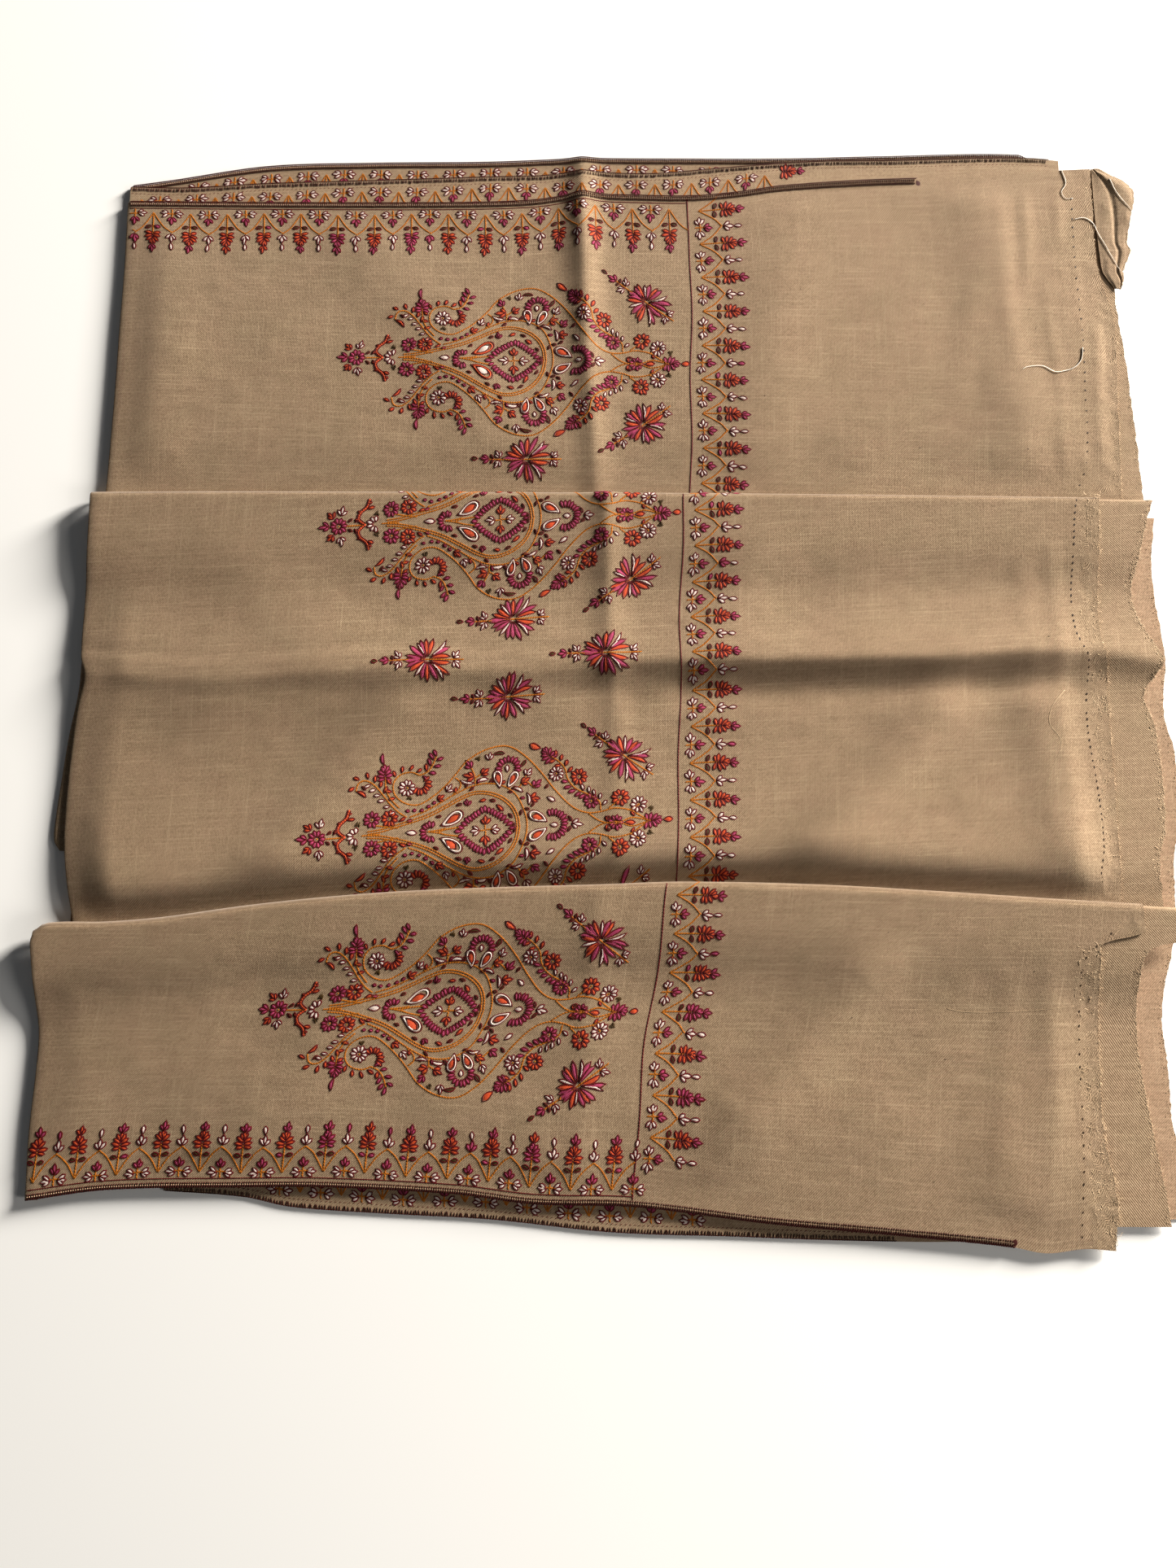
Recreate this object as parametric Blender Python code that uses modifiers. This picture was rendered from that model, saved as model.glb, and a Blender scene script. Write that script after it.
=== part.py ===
# Embroidered pashmina shawl, folded in three plies and laid out in three stretches by two flat pleats.
# The ends of the cloth lie at the right, its lengthwise folds at the left, and its hems at the far
# and near sides.
# Tables are in millimetres on the surface it lies on: x to the right, y away from the viewer, z up.

import math

import bmesh
import bpy

MM = 0.001
CLOTH_WALL = 1.2
SEAM_GAP = 0.3
PLY_STEP = CLOTH_WALL + SEAM_GAP
THREE_PLIES = 2 * PLY_STEP + CLOTH_WALL + 0.4
HEM_TUCK = 24.0
END_TUCK = 23.0
FOLD_TUCK = 8.0
SETTLE_WIDTH = 38.0
SETTLE_LEAST = 0.25
CALM_FROM = 0.95
CALM_DEPTH = 0.1
LEFT_DROP = 0.5
LEFT_DROP_WIDTH = 6.0
INNER_LEFT_END = -406.2
INNER_RIGHT_END = 345.0
INNER_END_LEAN = 0.0355
INNER_SIDE_GAP = 1.2
BACK_FOLD_TUCK = 2.5
BACK_FOLD_CLEARANCE = 0.45
HIDDEN_CLEARANCE = 2.6
NOSE_CLEARANCE = 0.8
INNER_LEAST_HEIGHT = 1.2
INNER_EDGE_HEIGHT = 0.7
MIDDLE_ROLL = 4.0
NEAR_ROLL = 4.4

# Hems and fold lines, seen from above: x, y
FAR_HEM = ((-401, 394), (-284, 393), (-129, 393), (-68, 395), (-24, 400.5), (6, 400), (64, 399),
           (101, 402), (142, 408), (209, 413), (287, 416), (345, 421), (402, 424))
SECOND_FAR_HEM = ((-401, 409), (-353, 408), (-285, 412), (-190, 415), (-102, 418), (-61, 419),
                  (-24, 422), (34, 421), (102, 427), (170, 432), (238, 433), (347, 435), (410, 428))
THIRD_FAR_HEM = ((-401, 410), (-367, 415), (-286, 428), (-198, 431), (-102, 432), (-24, 435),
                 (34, 435), (143, 435), (225, 437), (340, 438.5), (356, 431), (405, 429.5))
MIDDLE_FOLD = ((-414, 140.5), (-292, 141), (-34, 140), (122, 139), (290, 137), (440, 135))
RIDGE = ((-413, 2), (-317, -5), (-191, 4), (-96, 2), (-8, 2), (125, 4), (251, 6), (374, 11), (436, 2))
NEAR_FOLD = ((-438, -206), (-427, -200), (-382, -199), (-339, -195.5), (-278, -187), (-217, -180.5),
             (-156, -176), (-82, -173), (-8, -171), (53, -169), (152, -171), (244, -176),
             (336, -182), (440, -188))
NEAR_HEM = ((-435, -403), (-374, -395), (-272, -393), (-212, -393), (-116, -398), (-59, -405),
            (15, -407), (115, -419), (206, -427), (288, -435), (316, -440), (345, -437), (367, -438.5))
SECOND_NEAR_HEM = ((-333, -396.5), (-273, -401), (-238, -408), (-164, -413), (-90, -417), (-2, -426),
                   (87, -429), (177, -432), (260, -432.5), (330, -427), (414, -421))

# Side edges of each stretch: y, x of the left fold, x of the standing crease, x of the right raw end
FAR_SIDES = ((426, -400, -24, 399), (394, -401, -24, 399), (335, -401, -22, 400), (285, -402, -21, 411),
             (214, -403, -16, 409), (120, -406, -11, 407))
MIDDLE_SIDES = ((142, -414, -4, 386), (77, -415, -3, 383), (24, -416, -2, 381), (5, -415, -1, 385),
                (-8, -411, 0, 386), (-34, -416, 3, 386), (-79, -420, 3, 387), (-129, -421, 2, 387),
                (-154, -419, 2, 387), (-200, -411, 2, 387))
NEAR_SIDES = ((-168, -427, -10, 400), (-199, -428, -12, 399), (-208, -436, -13, 398),
              (-215, -438, -13, 369), (-226, -437, -14, 366), (-258, -434, -18, 364),
              (-288, -431, -21, 363), (-354, -434, -24, 363), (-400, -434, -27, 370), (-441, -435, -29, 367))

# Right raw ends of the plies below: y, x
FAR_SECOND_END = ((429, 406), (400, 408), (340, 412), (300, 414), (250, 419), (202, 422), (110, 427))
MIDDLE_SECOND_END = ((142, 437), (131, 428), (85, 415), (57, 409), (32, 416), (4, 430), (-8, 424),
                     (-22, 415), (-49, 422), (-91, 425), (-129, 424), (-154, 418), (-200, 421))
MIDDLE_THIRD_END = ((122, 434), (79, 429), (57, 430), (5, 435), (-37, 431), (-69, 437.5), (-116, 437.5),
                    (-154, 431), (-190, 430))
NEAR_SECOND_END = ((-168, 436), (-199, 437), (-212, 436), (-219, 405), (-246, 395), (-289, 393),
                   (-323, 396), (-365, 402), (-397, 407), (-425, 410))
NEAR_THIRD_END = ((-202, 430), (-221, 425), (-265, 414), (-312, 416), (-342, 416), (-365, 419),
                  (-395, 420), (-419, 418))

# Lift of the top cloth along each stretch: share of its depth, height of the plies below, air under it
FAR_LIFT = ((0, THREE_PLIES, 0), (0.12, THREE_PLIES, 0.6), (0.45, THREE_PLIES, 2.0),
            (0.78, THREE_PLIES, 2.3), (0.9, THREE_PLIES, 0.7), (0.95, THREE_PLIES, 0), (1, THREE_PLIES, 0))
MIDDLE_LIFT = ((0, 13.0, 0), (0.12, 11.6, 0), (0.17, 10.2, 0.4), (0.24, 6.4, 2.2), (0.33, 4.9, 3.2),
               (0.42, 4.7, 3.6), (0.54, 4.7, 2.6), (0.68, 4.7, 3.6), (0.8, 4.7, 5.8), (0.88, 4.7, 7.2),
               (0.92, 4.7, 4.8), (0.96, 4.7, 0.3), (1, 4.7, 0))
NEAR_LIFT = ((0, 14.6, 0), (0.13, 12.9, 0), (0.2, 10.8, 0.3), (0.28, 6.8, 1.8), (0.36, 4.8, 2.6),
             (0.55, THREE_PLIES, 2.2), (0.8, THREE_PLIES, 1.5), (0.94, THREE_PLIES, 0.4),
             (1, THREE_PLIES, 0))
MIDDLE_RIDGE_SHARE = 0.42

# Height of the pressed ridge across the middle stretch: x, height
RIDGE_HEIGHT = ((-413, 3.5), (-250, 5.0), (-100, 4.5), (60, 5.5), (220, 6.5), (380, 6.0), (436, 5.0))
RIDGE_FAR_FALL = 17.0
RIDGE_NEAR_FALL = 9.0

# Standing crease down each stretch: height at its far end, height at its near end, half width
CREASES = {"far": (5.0, 1.6, 11), "middle": (3.0, 0.3, 12), "near": (1.0, 0.6, 14)}

# Soft folds: stretch, x and y of one end, x and y of the other, height, half width
SOFT_FOLDS = (
    ("far", 150, 400, 120, 190, 1.6, 34),
    ("far", 300, 410, 330, 180, 1.8, 28),
    ("far", -180, 330, -80, 190, 1.4, 36),
    ("far", -370, 360, -360, 180, 1.2, 30),
    ("middle", 250, -40, 160, -140, 4.2, 26),
    ("middle", 330, -30, 345, -130, 2.4, 24),
    ("middle", -170, -40, -250, -150, 3.0, 30),
    ("middle", 120, 110, 90, 40, 1.6, 30),
    ("middle", -300, 100, -250, 30, 1.4, 32),
    ("near", 215, -225, 100, -345, 4.6, 26),
    ("near", 330, -280, 300, -400, 2.0, 26),
    ("near", -200, -260, -280, -360, 1.8, 34),
    ("near", -20, -300, -60, -390, 1.2, 30),
)

CREASE_OFFSETS = (-19, -11, -5, 0, 5, 11, 19)
END_OFFSETS = (-END_TUCK, -13, 0)

# Columns of a wide stretch: share of left fold, share of crease, share of right end, offset
COLUMNS = tuple(
    [(1, 0, 0, 0), (1, 0, 0, 5), (1, 0, 0, 16)]
    + [(1 - k / 11, k / 11, 0, 0) for k in range(1, 11)]
    + [(0, 1, 0, offset) for offset in CREASE_OFFSETS]
    + [(0, 1 - k / 11, k / 11, 0) for k in range(1, 11)]
    + [(0, 0, 1, offset) for offset in END_OFFSETS]
)
HEM_STEPS = 20
HEM_CREASE_CLEAR = 22
FAR_STRIP_ENDS = (-398.5, 374)
NEAR_STRIP_ENDS = (-331, 337)
SECOND_HEM_CREASE = 3.6
THIRD_HEM_CREASE = 2.7
MIDDLE_FLOOR_ROWS = [122 - 312 * k / 14 for k in range(15)]
NEAR_FLOOR_ROWS = [-202 - 215 * k / 10 for k in range(11)]
FAR_ROWS = (0, 0.05, 0.13, 0.24, 0.36, 0.48, 0.6, 0.71, 0.81, 0.9, 0.96, 1)
MIDDLE_TOP_ROWS = (0.05, 0.12, 0.18, 0.24, 0.31, 0.365, 0.395, 0.42, 0.437, 0.465, 0.52, 0.6, 0.69,
                   0.78, 0.85, 0.89, 0.925, 0.96, 1)
NEAR_TOP_ROWS = (0.05, 0.13, 0.2, 0.27, 0.34, 0.43, 0.52, 0.61, 0.7, 0.79, 0.88, 0.95, 1)
ROLL_ROWS = (-1.0, -0.8, -0.6, -0.4, -0.2, 0)
NEAR_END_ROWS = ROLL_ROWS + NEAR_TOP_ROWS[:-2] + (0.933,)
FAR_INNER_ROWS = (0.16, 0.3, 0.45, 0.6, 0.75, 0.88, 0.95, 1)
MIDDLE_INNER_ROWS = (0.06, 0.12, 0.18, 0.25, 0.33, 0.42, 0.52, 0.62, 0.73, 0.83, 0.89, 0.93, 0.965, 1)
NEAR_INNER_ROWS = (0.06, 0.13, 0.2, 0.28, 0.36, 0.48, 0.6, 0.72, 0.82, 0.89)

TAN = (0.42, 0.31, 0.19)
PALE_TAN = (0.50, 0.38, 0.25)
DEEP_TAN = (0.33, 0.24, 0.15)


def clear_scene():
    for obj in list(bpy.data.objects):
        bpy.data.objects.remove(obj)


def curve(table, at, column=1):
    """A smooth value through the table's rows, which are ordered by their first column."""
    rows = table if table[0][0] < table[-1][0] else table[::-1]
    last = len(rows) - 1
    if at <= rows[0][0]:
        return rows[0][column]
    if at >= rows[last][0]:
        return rows[last][column]
    k = max(i for i in range(last) if rows[i][0] <= at)

    def slope(i):
        low, high = rows[max(i - 1, 0)], rows[min(i + 1, last)]
        return (high[column] - low[column]) / (high[0] - low[0])

    step = rows[k + 1][0] - rows[k][0]
    u = (at - rows[k][0]) / step
    start, end = rows[k][column], rows[k + 1][column]
    ease = 3 * u * u - 2 * u ** 3
    rise = (u - 2 * u * u + u ** 3) * slope(k) + (u ** 3 - u * u) * slope(k + 1)
    return start + (end - start) * ease + rise * step


def ramp(value):
    value = min(max(value, 0), 1)
    return value * value * (3 - 2 * value)


def from_segment(x, y, x1, y1, x2, y2):
    """Distance of a point from a fold's middle line, and how far it lies beyond the line's ends."""
    length = math.hypot(x2 - x1, y2 - y1)
    along = ((x - x1) * (x2 - x1) + (y - y1) * (y2 - y1)) / length
    beyond = max(-along, along - length, 0)
    across = abs((x - x1) * (y2 - y1) - (y - y1) * (x2 - x1)) / length
    return across, beyond


def soft_folds(stretch, x, y):
    total = 0
    for name, x1, y1, x2, y2, height, width in SOFT_FOLDS:
        if name == stretch:
            across, beyond = from_segment(x, y, x1, y1, x2, y2)
            total += height * math.exp(-((across / width) ** 2) - (beyond / (1.4 * width)) ** 2)
    return total


class Stretch:
    """One visible stretch of the top cloth: share 0 is its far edge, or the crest of its rolled fold."""

    def __init__(self, name, sides, far, near, lift, near_tuck, roll=None, ridge=None):
        self.name = name
        self.sides = sides
        self.far = far
        self.near = near
        self.lift = lift
        self.near_tuck = near_tuck
        self.roll = roll
        self.ridge = ridge

    def edge_x(self, column, y):
        return curve(self.sides, y, column)

    def far_y(self, x):
        return curve(self.far, x) - (self.roll or 0)

    def near_y(self, x):
        return curve(self.near, x) - self.near_tuck

    def y_at(self, x, share):
        share = max(share, 0)
        far, near = self.far_y(x), self.near_y(x)
        if self.ridge is None:
            return far + (near - far) * share
        middle = curve(self.ridge, x)
        if share <= MIDDLE_RIDGE_SHARE:
            return far + (middle - far) * share / MIDDLE_RIDGE_SHARE
        return middle + (near - middle) * (share - MIDDLE_RIDGE_SHARE) / (1 - MIDDLE_RIDGE_SHARE)

    def share_at(self, x, y):
        far, near = self.far_y(x), self.near_y(x)
        if self.ridge is None:
            return (far - y) / (far - near)
        middle = curve(self.ridge, x)
        if y >= middle:
            return MIDDLE_RIDGE_SHARE * (far - y) / (far - middle)
        return MIDDLE_RIDGE_SHARE + (1 - MIDDLE_RIDGE_SHARE) * (middle - y) / (middle - near)

    def settle(self, x, y):
        """Near its left fold and its raw end the cloth lies down on the plies below."""
        inside = min(x - self.edge_x(1, y), self.edge_x(3, y) - x)
        return SETTLE_LEAST + (1 - SETTLE_LEAST) * ramp(inside / SETTLE_WIDTH)

    def smooth_top(self, x, y):
        share = min(max(self.share_at(x, y), 0), 1)
        stack = curve(self.lift, share, 1)
        air = curve(self.lift, share, 2)
        calm = ramp(share / 0.25) if self.roll else ramp(share / 0.1)
        calm *= ramp((CALM_FROM - share) / CALM_DEPTH)
        folds = soft_folds(self.name, x, y) * calm
        return stack + (max(air, 0) + folds) * self.settle(x, y)

    def top(self, x, y):
        share = min(max(self.share_at(x, y), 0), 1)
        far_height, near_height, width = CREASES[self.name]
        crease = far_height + (near_height - far_height) * share
        crease *= math.exp(-(abs(x - self.edge_x(2, y)) / width) ** 1.6)
        height = self.smooth_top(x, y) + crease
        if self.ridge is not None:
            off = y - curve(self.ridge, x)
            fall = RIDGE_FAR_FALL if off > 0 else RIDGE_NEAR_FALL
            height += curve(RIDGE_HEIGHT, x) * math.exp(-abs(off) / fall)
        from_left = ramp((x - self.edge_x(1, y)) / LEFT_DROP_WIDTH)
        return height - LEFT_DROP * (1 - from_left)

    def column_x(self, column, y):
        left, crease, right, offset = column
        return (
            left * self.edge_x(1, y) + crease * self.edge_x(2, y) + right * self.edge_x(3, y) + offset
        )

    def place(self, x_of, row, below=0):
        """A point of this surface, or of a ply nested a step below it. Negative rows run round the roll."""
        y = curve(self.far, 0)
        for _ in range(4):
            x = x_of(y)
            y = self.y_at(x, row)
        x = x_of(y)
        crest = self.top(x, self.y_at(x, 0))
        if row >= 0:
            return x, y, self.top(x, y) - below
        angle = -row * math.pi
        radius = self.roll - below
        return x, y + radius * math.sin(angle), crest - self.roll + radius * math.cos(angle)


far = Stretch("far", FAR_SIDES, FAR_HEM, MIDDLE_FOLD, FAR_LIFT,
              MIDDLE_ROLL + FOLD_TUCK)
middle = Stretch("middle", MIDDLE_SIDES, MIDDLE_FOLD, NEAR_FOLD, MIDDLE_LIFT,
                 NEAR_ROLL + FOLD_TUCK, MIDDLE_ROLL, RIDGE)
near = Stretch("near", NEAR_SIDES, NEAR_FOLD, NEAR_HEM, NEAR_LIFT, 0, NEAR_ROLL)

# Points across the flat underside of the hidden layers, from the near side to the far
UNDERSIDE_SHARES = ((near, (0.75, 0.5, 0.2)), (middle, (0.92, 0.7, 0.5, 0.42, 0.25, 0.05)),
                    (far, (0.9, 0.6, 0.3)))


def cloth_material(name, colour, roughness=0.9):
    material = bpy.data.materials.new(name)
    material.use_nodes = True
    shader = material.node_tree.nodes["Principled BSDF"]
    shader.inputs["Base Color"].default_value = (*colour, 1)
    shader.inputs["Roughness"].default_value = roughness
    shader.inputs["Metallic"].default_value = 0
    material.diffuse_color = (*colour, 1)
    return material


def cloth_wall(name, columns, rows, point, colour, thickness=CLOTH_WALL):
    """A sheet of cloth: a grid laid through point(column, row), given its wall on the underside."""
    shape = bmesh.new()
    bmesh.ops.create_grid(shape, x_segments=len(columns) - 1, y_segments=len(rows) - 1, size=0.5)
    for corner in shape.verts:
        i = round((corner.co.x + 0.5) * (len(columns) - 1))
        j = round((0.5 - corner.co.y) * (len(rows) - 1))
        corner.co = [value * MM for value in point(columns[i], rows[j])]
    mesh = bpy.data.meshes.new(name)
    shape.to_mesh(mesh)
    shape.free()
    mesh.shade_smooth()
    mesh.materials.append(cloth_material(name, colour))
    obj = bpy.data.objects.new(name, mesh)
    shawl.objects.link(obj)
    wall = obj.modifiers.new("wall", "SOLIDIFY")
    wall.thickness = thickness * MM
    wall.offset = -1
    wall.use_even_offset = True
    return obj


def top_stretches():
    """The three stretches of the top cloth, with the middle and near ones rolled over at the far side."""
    for name, stretch, rows, colour in (
        ("far_stretch", far, FAR_ROWS, TAN),
        ("middle_stretch", middle, ROLL_ROWS + MIDDLE_TOP_ROWS, TAN),
        ("near_stretch", near, ROLL_ROWS + NEAR_TOP_ROWS, TAN),
    ):
        def point(column, row, stretch=stretch):
            return stretch.place(lambda y: stretch.column_x(column, y), row)

        cloth_wall(name, COLUMNS, rows, point, colour)


def hem_strip(name, outer, inner, height, lifted, colour, ends):
    """A ply that shows beyond a hem: from its own hem to a line tucked under the ply above."""
    crease_x = curve(FAR_SIDES, curve(FAR_HEM, 0), 2)
    spread = [ends[0] + (ends[1] - ends[0]) * k / HEM_STEPS for k in range(HEM_STEPS + 1)]
    spread = [x for x in spread if abs(x - crease_x) > HEM_CREASE_CLEAR or not lifted]
    if lifted:
        spread = sorted(spread + [crease_x + offset for offset in CREASE_OFFSETS])
    rows = (0, 0.35, 1) if lifted else (1, 0.65, 0)

    def point(x, share):
        y = curve(outer, x) + (inner(x) - curve(outer, x)) * share
        crease = lifted * math.exp(-(abs(x - crease_x) / CREASES["far"][2]) ** 1.6)
        return x, y, height + crease

    cloth_wall(name, spread, rows, point, colour)


def hem_plies():
    def far_inner(x):
        return curve(FAR_HEM, x) - HEM_TUCK

    def near_inner(x):
        return curve(NEAR_HEM, x) + HEM_TUCK

    hem_strip("far_second_ply_hem", SECOND_FAR_HEM, far_inner, PLY_STEP + CLOTH_WALL,
              SECOND_HEM_CREASE, DEEP_TAN, FAR_STRIP_ENDS)
    hem_strip("far_third_ply_hem", THIRD_FAR_HEM, far_inner, CLOTH_WALL, THIRD_HEM_CREASE, TAN,
              FAR_STRIP_ENDS)
    hem_strip("near_second_ply_hem", SECOND_NEAR_HEM, near_inner, CLOTH_WALL, 0, DEEP_TAN,
              NEAR_STRIP_ENDS)


def end_ply(name, stretch, ends, rows, colour):
    """The second ply's raw end, nested under the top cloth's and reaching further right."""
    columns = [(offset, 0) for offset in END_OFFSETS] + [(0, 0.5), (0, 1)]

    def point(column, row):
        offset, share = column

        def x_of(y):
            start = stretch.edge_x(3, y)
            return start + offset + (curve(ends, y) - start) * share

        x, y, z = stretch.place(x_of, row, below=PLY_STEP)
        return x, y, max(z, PLY_STEP + CLOTH_WALL)

    cloth_wall(name, columns, rows, point, colour)


def floor_ply(name, ends, start_of, rows, colour):
    """The third ply's raw end, flat on the surface below."""
    def point(share, y):
        start = start_of(y)
        return start + (curve(ends, y) - start) * share, y, CLOTH_WALL

    cloth_wall(name, (0, 0.5, 1), rows, point, colour)


def end_plies():
    end_ply("far_second_ply_end", far, FAR_SECOND_END, FAR_ROWS, DEEP_TAN)
    end_ply("middle_second_ply_end", middle, MIDDLE_SECOND_END, ROLL_ROWS + MIDDLE_TOP_ROWS, PALE_TAN)
    end_ply("near_second_ply_end", near, NEAR_SECOND_END, NEAR_END_ROWS, DEEP_TAN)
    floor_ply("middle_third_ply_end", MIDDLE_THIRD_END, lambda y: middle.edge_x(3, y) - END_TUCK,
              MIDDLE_FLOOR_ROWS, PALE_TAN)
    floor_ply("near_third_ply_end", NEAR_THIRD_END, lambda y: near.edge_x(3, y) - END_TUCK,
              NEAR_FLOOR_ROWS, PALE_TAN)


def turned_corner():
    """The third ply's far corner, turned up and over at the raw end."""
    # share down the flap, y, x of its inner edge, x of its outer edge, height of the outer edge
    flap = ((0, 424, 402.5, 407, 5.0), (0.12, 415, 403, 422, 6.5), (0.25, 402, 403.5, 434, 8.5),
            (0.45, 380, 404, 430, 9.0), (0.68, 352, 405, 426, 8.0), (0.85, 333, 407, 422, 6.5),
            (1, 317, 414.5, 419, 5.4))

    def point(across, down):
        inner, outer = curve(flap, down, 2), curve(flap, down, 3)
        rise = curve(flap, down, 4) - THREE_PLIES
        bend = 0.5 - 0.5 * math.cos(math.pi * across)
        return inner + (outer - inner) * across, curve(flap, down, 1), THREE_PLIES + 0.6 + rise * bend

    cloth_wall("turned_corner", (0, 0.25, 0.5, 0.75, 1), [row[0] for row in flap], point, PALE_TAN)


def left_back_fold():
    """The fold of the plies below, which shows as a sliver past the middle stretch's left edge."""
    # y, x of the sliver's outer edge
    outer = ((4, -417), (-14, -417.5), (-28, -419), (-53, -423), (-91, -427), (-125, -430),
             (-138, -429.5), (-145, -425))

    def point(share, y):
        inside = middle.edge_x(1, y) + BACK_FOLD_TUCK
        edge = curve(outer, y)
        lifted = middle.top(inside, y) - CLOTH_WALL - BACK_FOLD_CLEARANCE
        height = 2 * CLOTH_WALL + max(lifted - 2 * CLOTH_WALL, 0) * share ** 2
        return edge + (inside - edge) * share, y, height

    cloth_wall("left_back_fold", (0, 0.5, 1), [row[0] for row in outer], point, DEEP_TAN,
               2 * CLOTH_WALL)


def inner_top(stretch, x, y):
    return max(stretch.smooth_top(x, y) - HIDDEN_CLEARANCE, INNER_LEAST_HEIGHT)


def inner_section(column):
    """One section through the hidden layers: over the top from the far side to the near, then back.
    The first and last sections are flat, a little inside the ends of the cloth."""
    left, crease, right, offset = column

    def x_of(stretch):
        def at(y):
            start = INNER_LEFT_END + INNER_END_LEAN * y
            end = INNER_RIGHT_END + INNER_END_LEAN * y
            x = left * start + crease * stretch.edge_x(2, y) + right * end + offset
            return min(max(x, start), end)
        return at

    def on_top(stretch, share):
        x, y, _ = stretch.place(x_of(stretch), share)
        return x, y, inner_top(stretch, x, y)

    def nose(stretch, before):
        """The rounded edge of the layers, nested in the roll of the stretch above."""
        radius = stretch.roll - CLOTH_WALL - NOSE_CLEARANCE
        back_x, back_y, _ = before.place(x_of(before), 1)
        points = []
        for row in ROLL_ROWS:
            x, y, z = stretch.place(x_of(stretch), row, below=stretch.roll - radius)
            points.append((x, y, z if row < 0 else z - 0.1))
        base = (back_x, back_y - SEAM_GAP - 0.2, inner_top(before, back_x, back_y))
        under = (points[0][0], base[1], points[0][2])
        return [base, under] + points

    x, y, _ = far.place(x_of(far), 0)
    far_y = curve(FAR_HEM, x) - HEM_TUCK - INNER_SIDE_GAP
    line = [(x, far_y, 0), (x, far_y, INNER_EDGE_HEIGHT),
            (x, far_y - INNER_LEAST_HEIGHT, INNER_LEAST_HEIGHT)]
    line += [on_top(far, share) for share in FAR_INNER_ROWS[:-1]]
    line += nose(middle, far)
    line += [on_top(middle, share) for share in MIDDLE_INNER_ROWS[:-1]]
    line += nose(near, middle)
    line += [on_top(near, share) for share in NEAR_INNER_ROWS]
    x, y, _ = near.place(x_of(near), 1)
    near_y = curve(NEAR_HEM, x) + HEM_TUCK + INNER_SIDE_GAP
    line += [(x, near_y + INNER_LEAST_HEIGHT, INNER_LEAST_HEIGHT), (x, near_y, INNER_EDGE_HEIGHT),
             (x, near_y, 0)]
    for stretch, shares in UNDERSIDE_SHARES:
        line += [(*stretch.place(x_of(stretch), share)[:2], 0) for share in shares]
    return line


def hidden_layers():
    """The plies and pleat passes between the top cloth and the surface, as one rounded solid."""
    columns = [column for column in COLUMNS if column[3] not in (5, 16, -5, *END_OFFSETS[:2])]
    sections = [inner_section(column) for column in columns]
    shape = bmesh.new()
    loops = [[shape.verts.new([v * MM for v in point]) for point in line] for line in sections]
    for one, other in zip(loops, loops[1:]):
        for k in range(len(one)):
            following = (k + 1) % len(one)
            shape.faces.new((one[k], one[following], other[following], other[k]))
    shape.faces.new(loops[0][::-1])
    shape.faces.new(loops[-1])
    bmesh.ops.recalc_face_normals(shape, faces=shape.faces)
    bmesh.ops.triangulate(shape, faces=shape.faces, ngon_method="EAR_CLIP")
    mesh = bpy.data.meshes.new("hidden_layers")
    shape.to_mesh(mesh)
    shape.free()
    mesh.materials.append(cloth_material("hidden_layers", DEEP_TAN))
    shawl.objects.link(bpy.data.objects.new("hidden_layers", mesh))


clear_scene()
shawl = bpy.data.collections.new("pashmina_shawl")
bpy.context.scene.collection.children.link(shawl)
top_stretches()
hem_plies()
end_plies()
turned_corner()
left_back_fold()
hidden_layers()
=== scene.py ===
# Embroidered wool shawl, folded and laid flat: fine cloth, needlework, camera and light round the solids.
# Lengths in the tables and settings are millimetres: x to the right, y away from the viewer, z up.
import math
import random
from functools import partial

import bpy
import numpy as np
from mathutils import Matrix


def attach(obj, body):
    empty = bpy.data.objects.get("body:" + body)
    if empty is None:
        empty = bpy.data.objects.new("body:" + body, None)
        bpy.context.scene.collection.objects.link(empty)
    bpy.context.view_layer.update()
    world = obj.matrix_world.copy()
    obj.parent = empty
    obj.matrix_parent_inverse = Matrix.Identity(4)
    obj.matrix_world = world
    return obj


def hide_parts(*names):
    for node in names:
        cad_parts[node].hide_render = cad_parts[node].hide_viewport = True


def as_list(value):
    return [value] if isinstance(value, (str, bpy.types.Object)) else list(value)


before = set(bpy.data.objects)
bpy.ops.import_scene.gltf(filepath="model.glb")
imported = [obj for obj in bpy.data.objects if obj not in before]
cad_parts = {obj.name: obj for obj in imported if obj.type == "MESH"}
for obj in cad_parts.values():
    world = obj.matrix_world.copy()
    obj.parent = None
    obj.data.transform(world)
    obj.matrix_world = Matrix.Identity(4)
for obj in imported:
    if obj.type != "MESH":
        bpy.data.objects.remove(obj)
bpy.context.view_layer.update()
print("frame loaded:", len(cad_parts), "solids")

mm = 0.001

# The folded cloth: the same named sizes and outlines as its solids
layers = {
    "plyStep": 1.5,         # from one ply to the next
    "hemTuck": 24.0,        # how far a lower ply goes on under a hem
    "endTuck": 23.0,
    "foldTuck": 8.0,
    "settleWidth": 38.0,    # the cloth lies down over this width at its sides
    "settleLeast": 0.25,
    "leftDrop": 0.5,
    "middleRoll": 4.0,      # radius of the rolled fold of the middle stretch
    "nearRoll": 4.4,
    "ridgeShare": 0.42,     # share of the middle stretch that lies beyond its ridge
    "shownWall": 0.8,       # thickness of the cloth that shows
    "foldRadius": 1.1,      # left fold, where the cloth turns under
    "foldReturn": 8.0,
}

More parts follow.
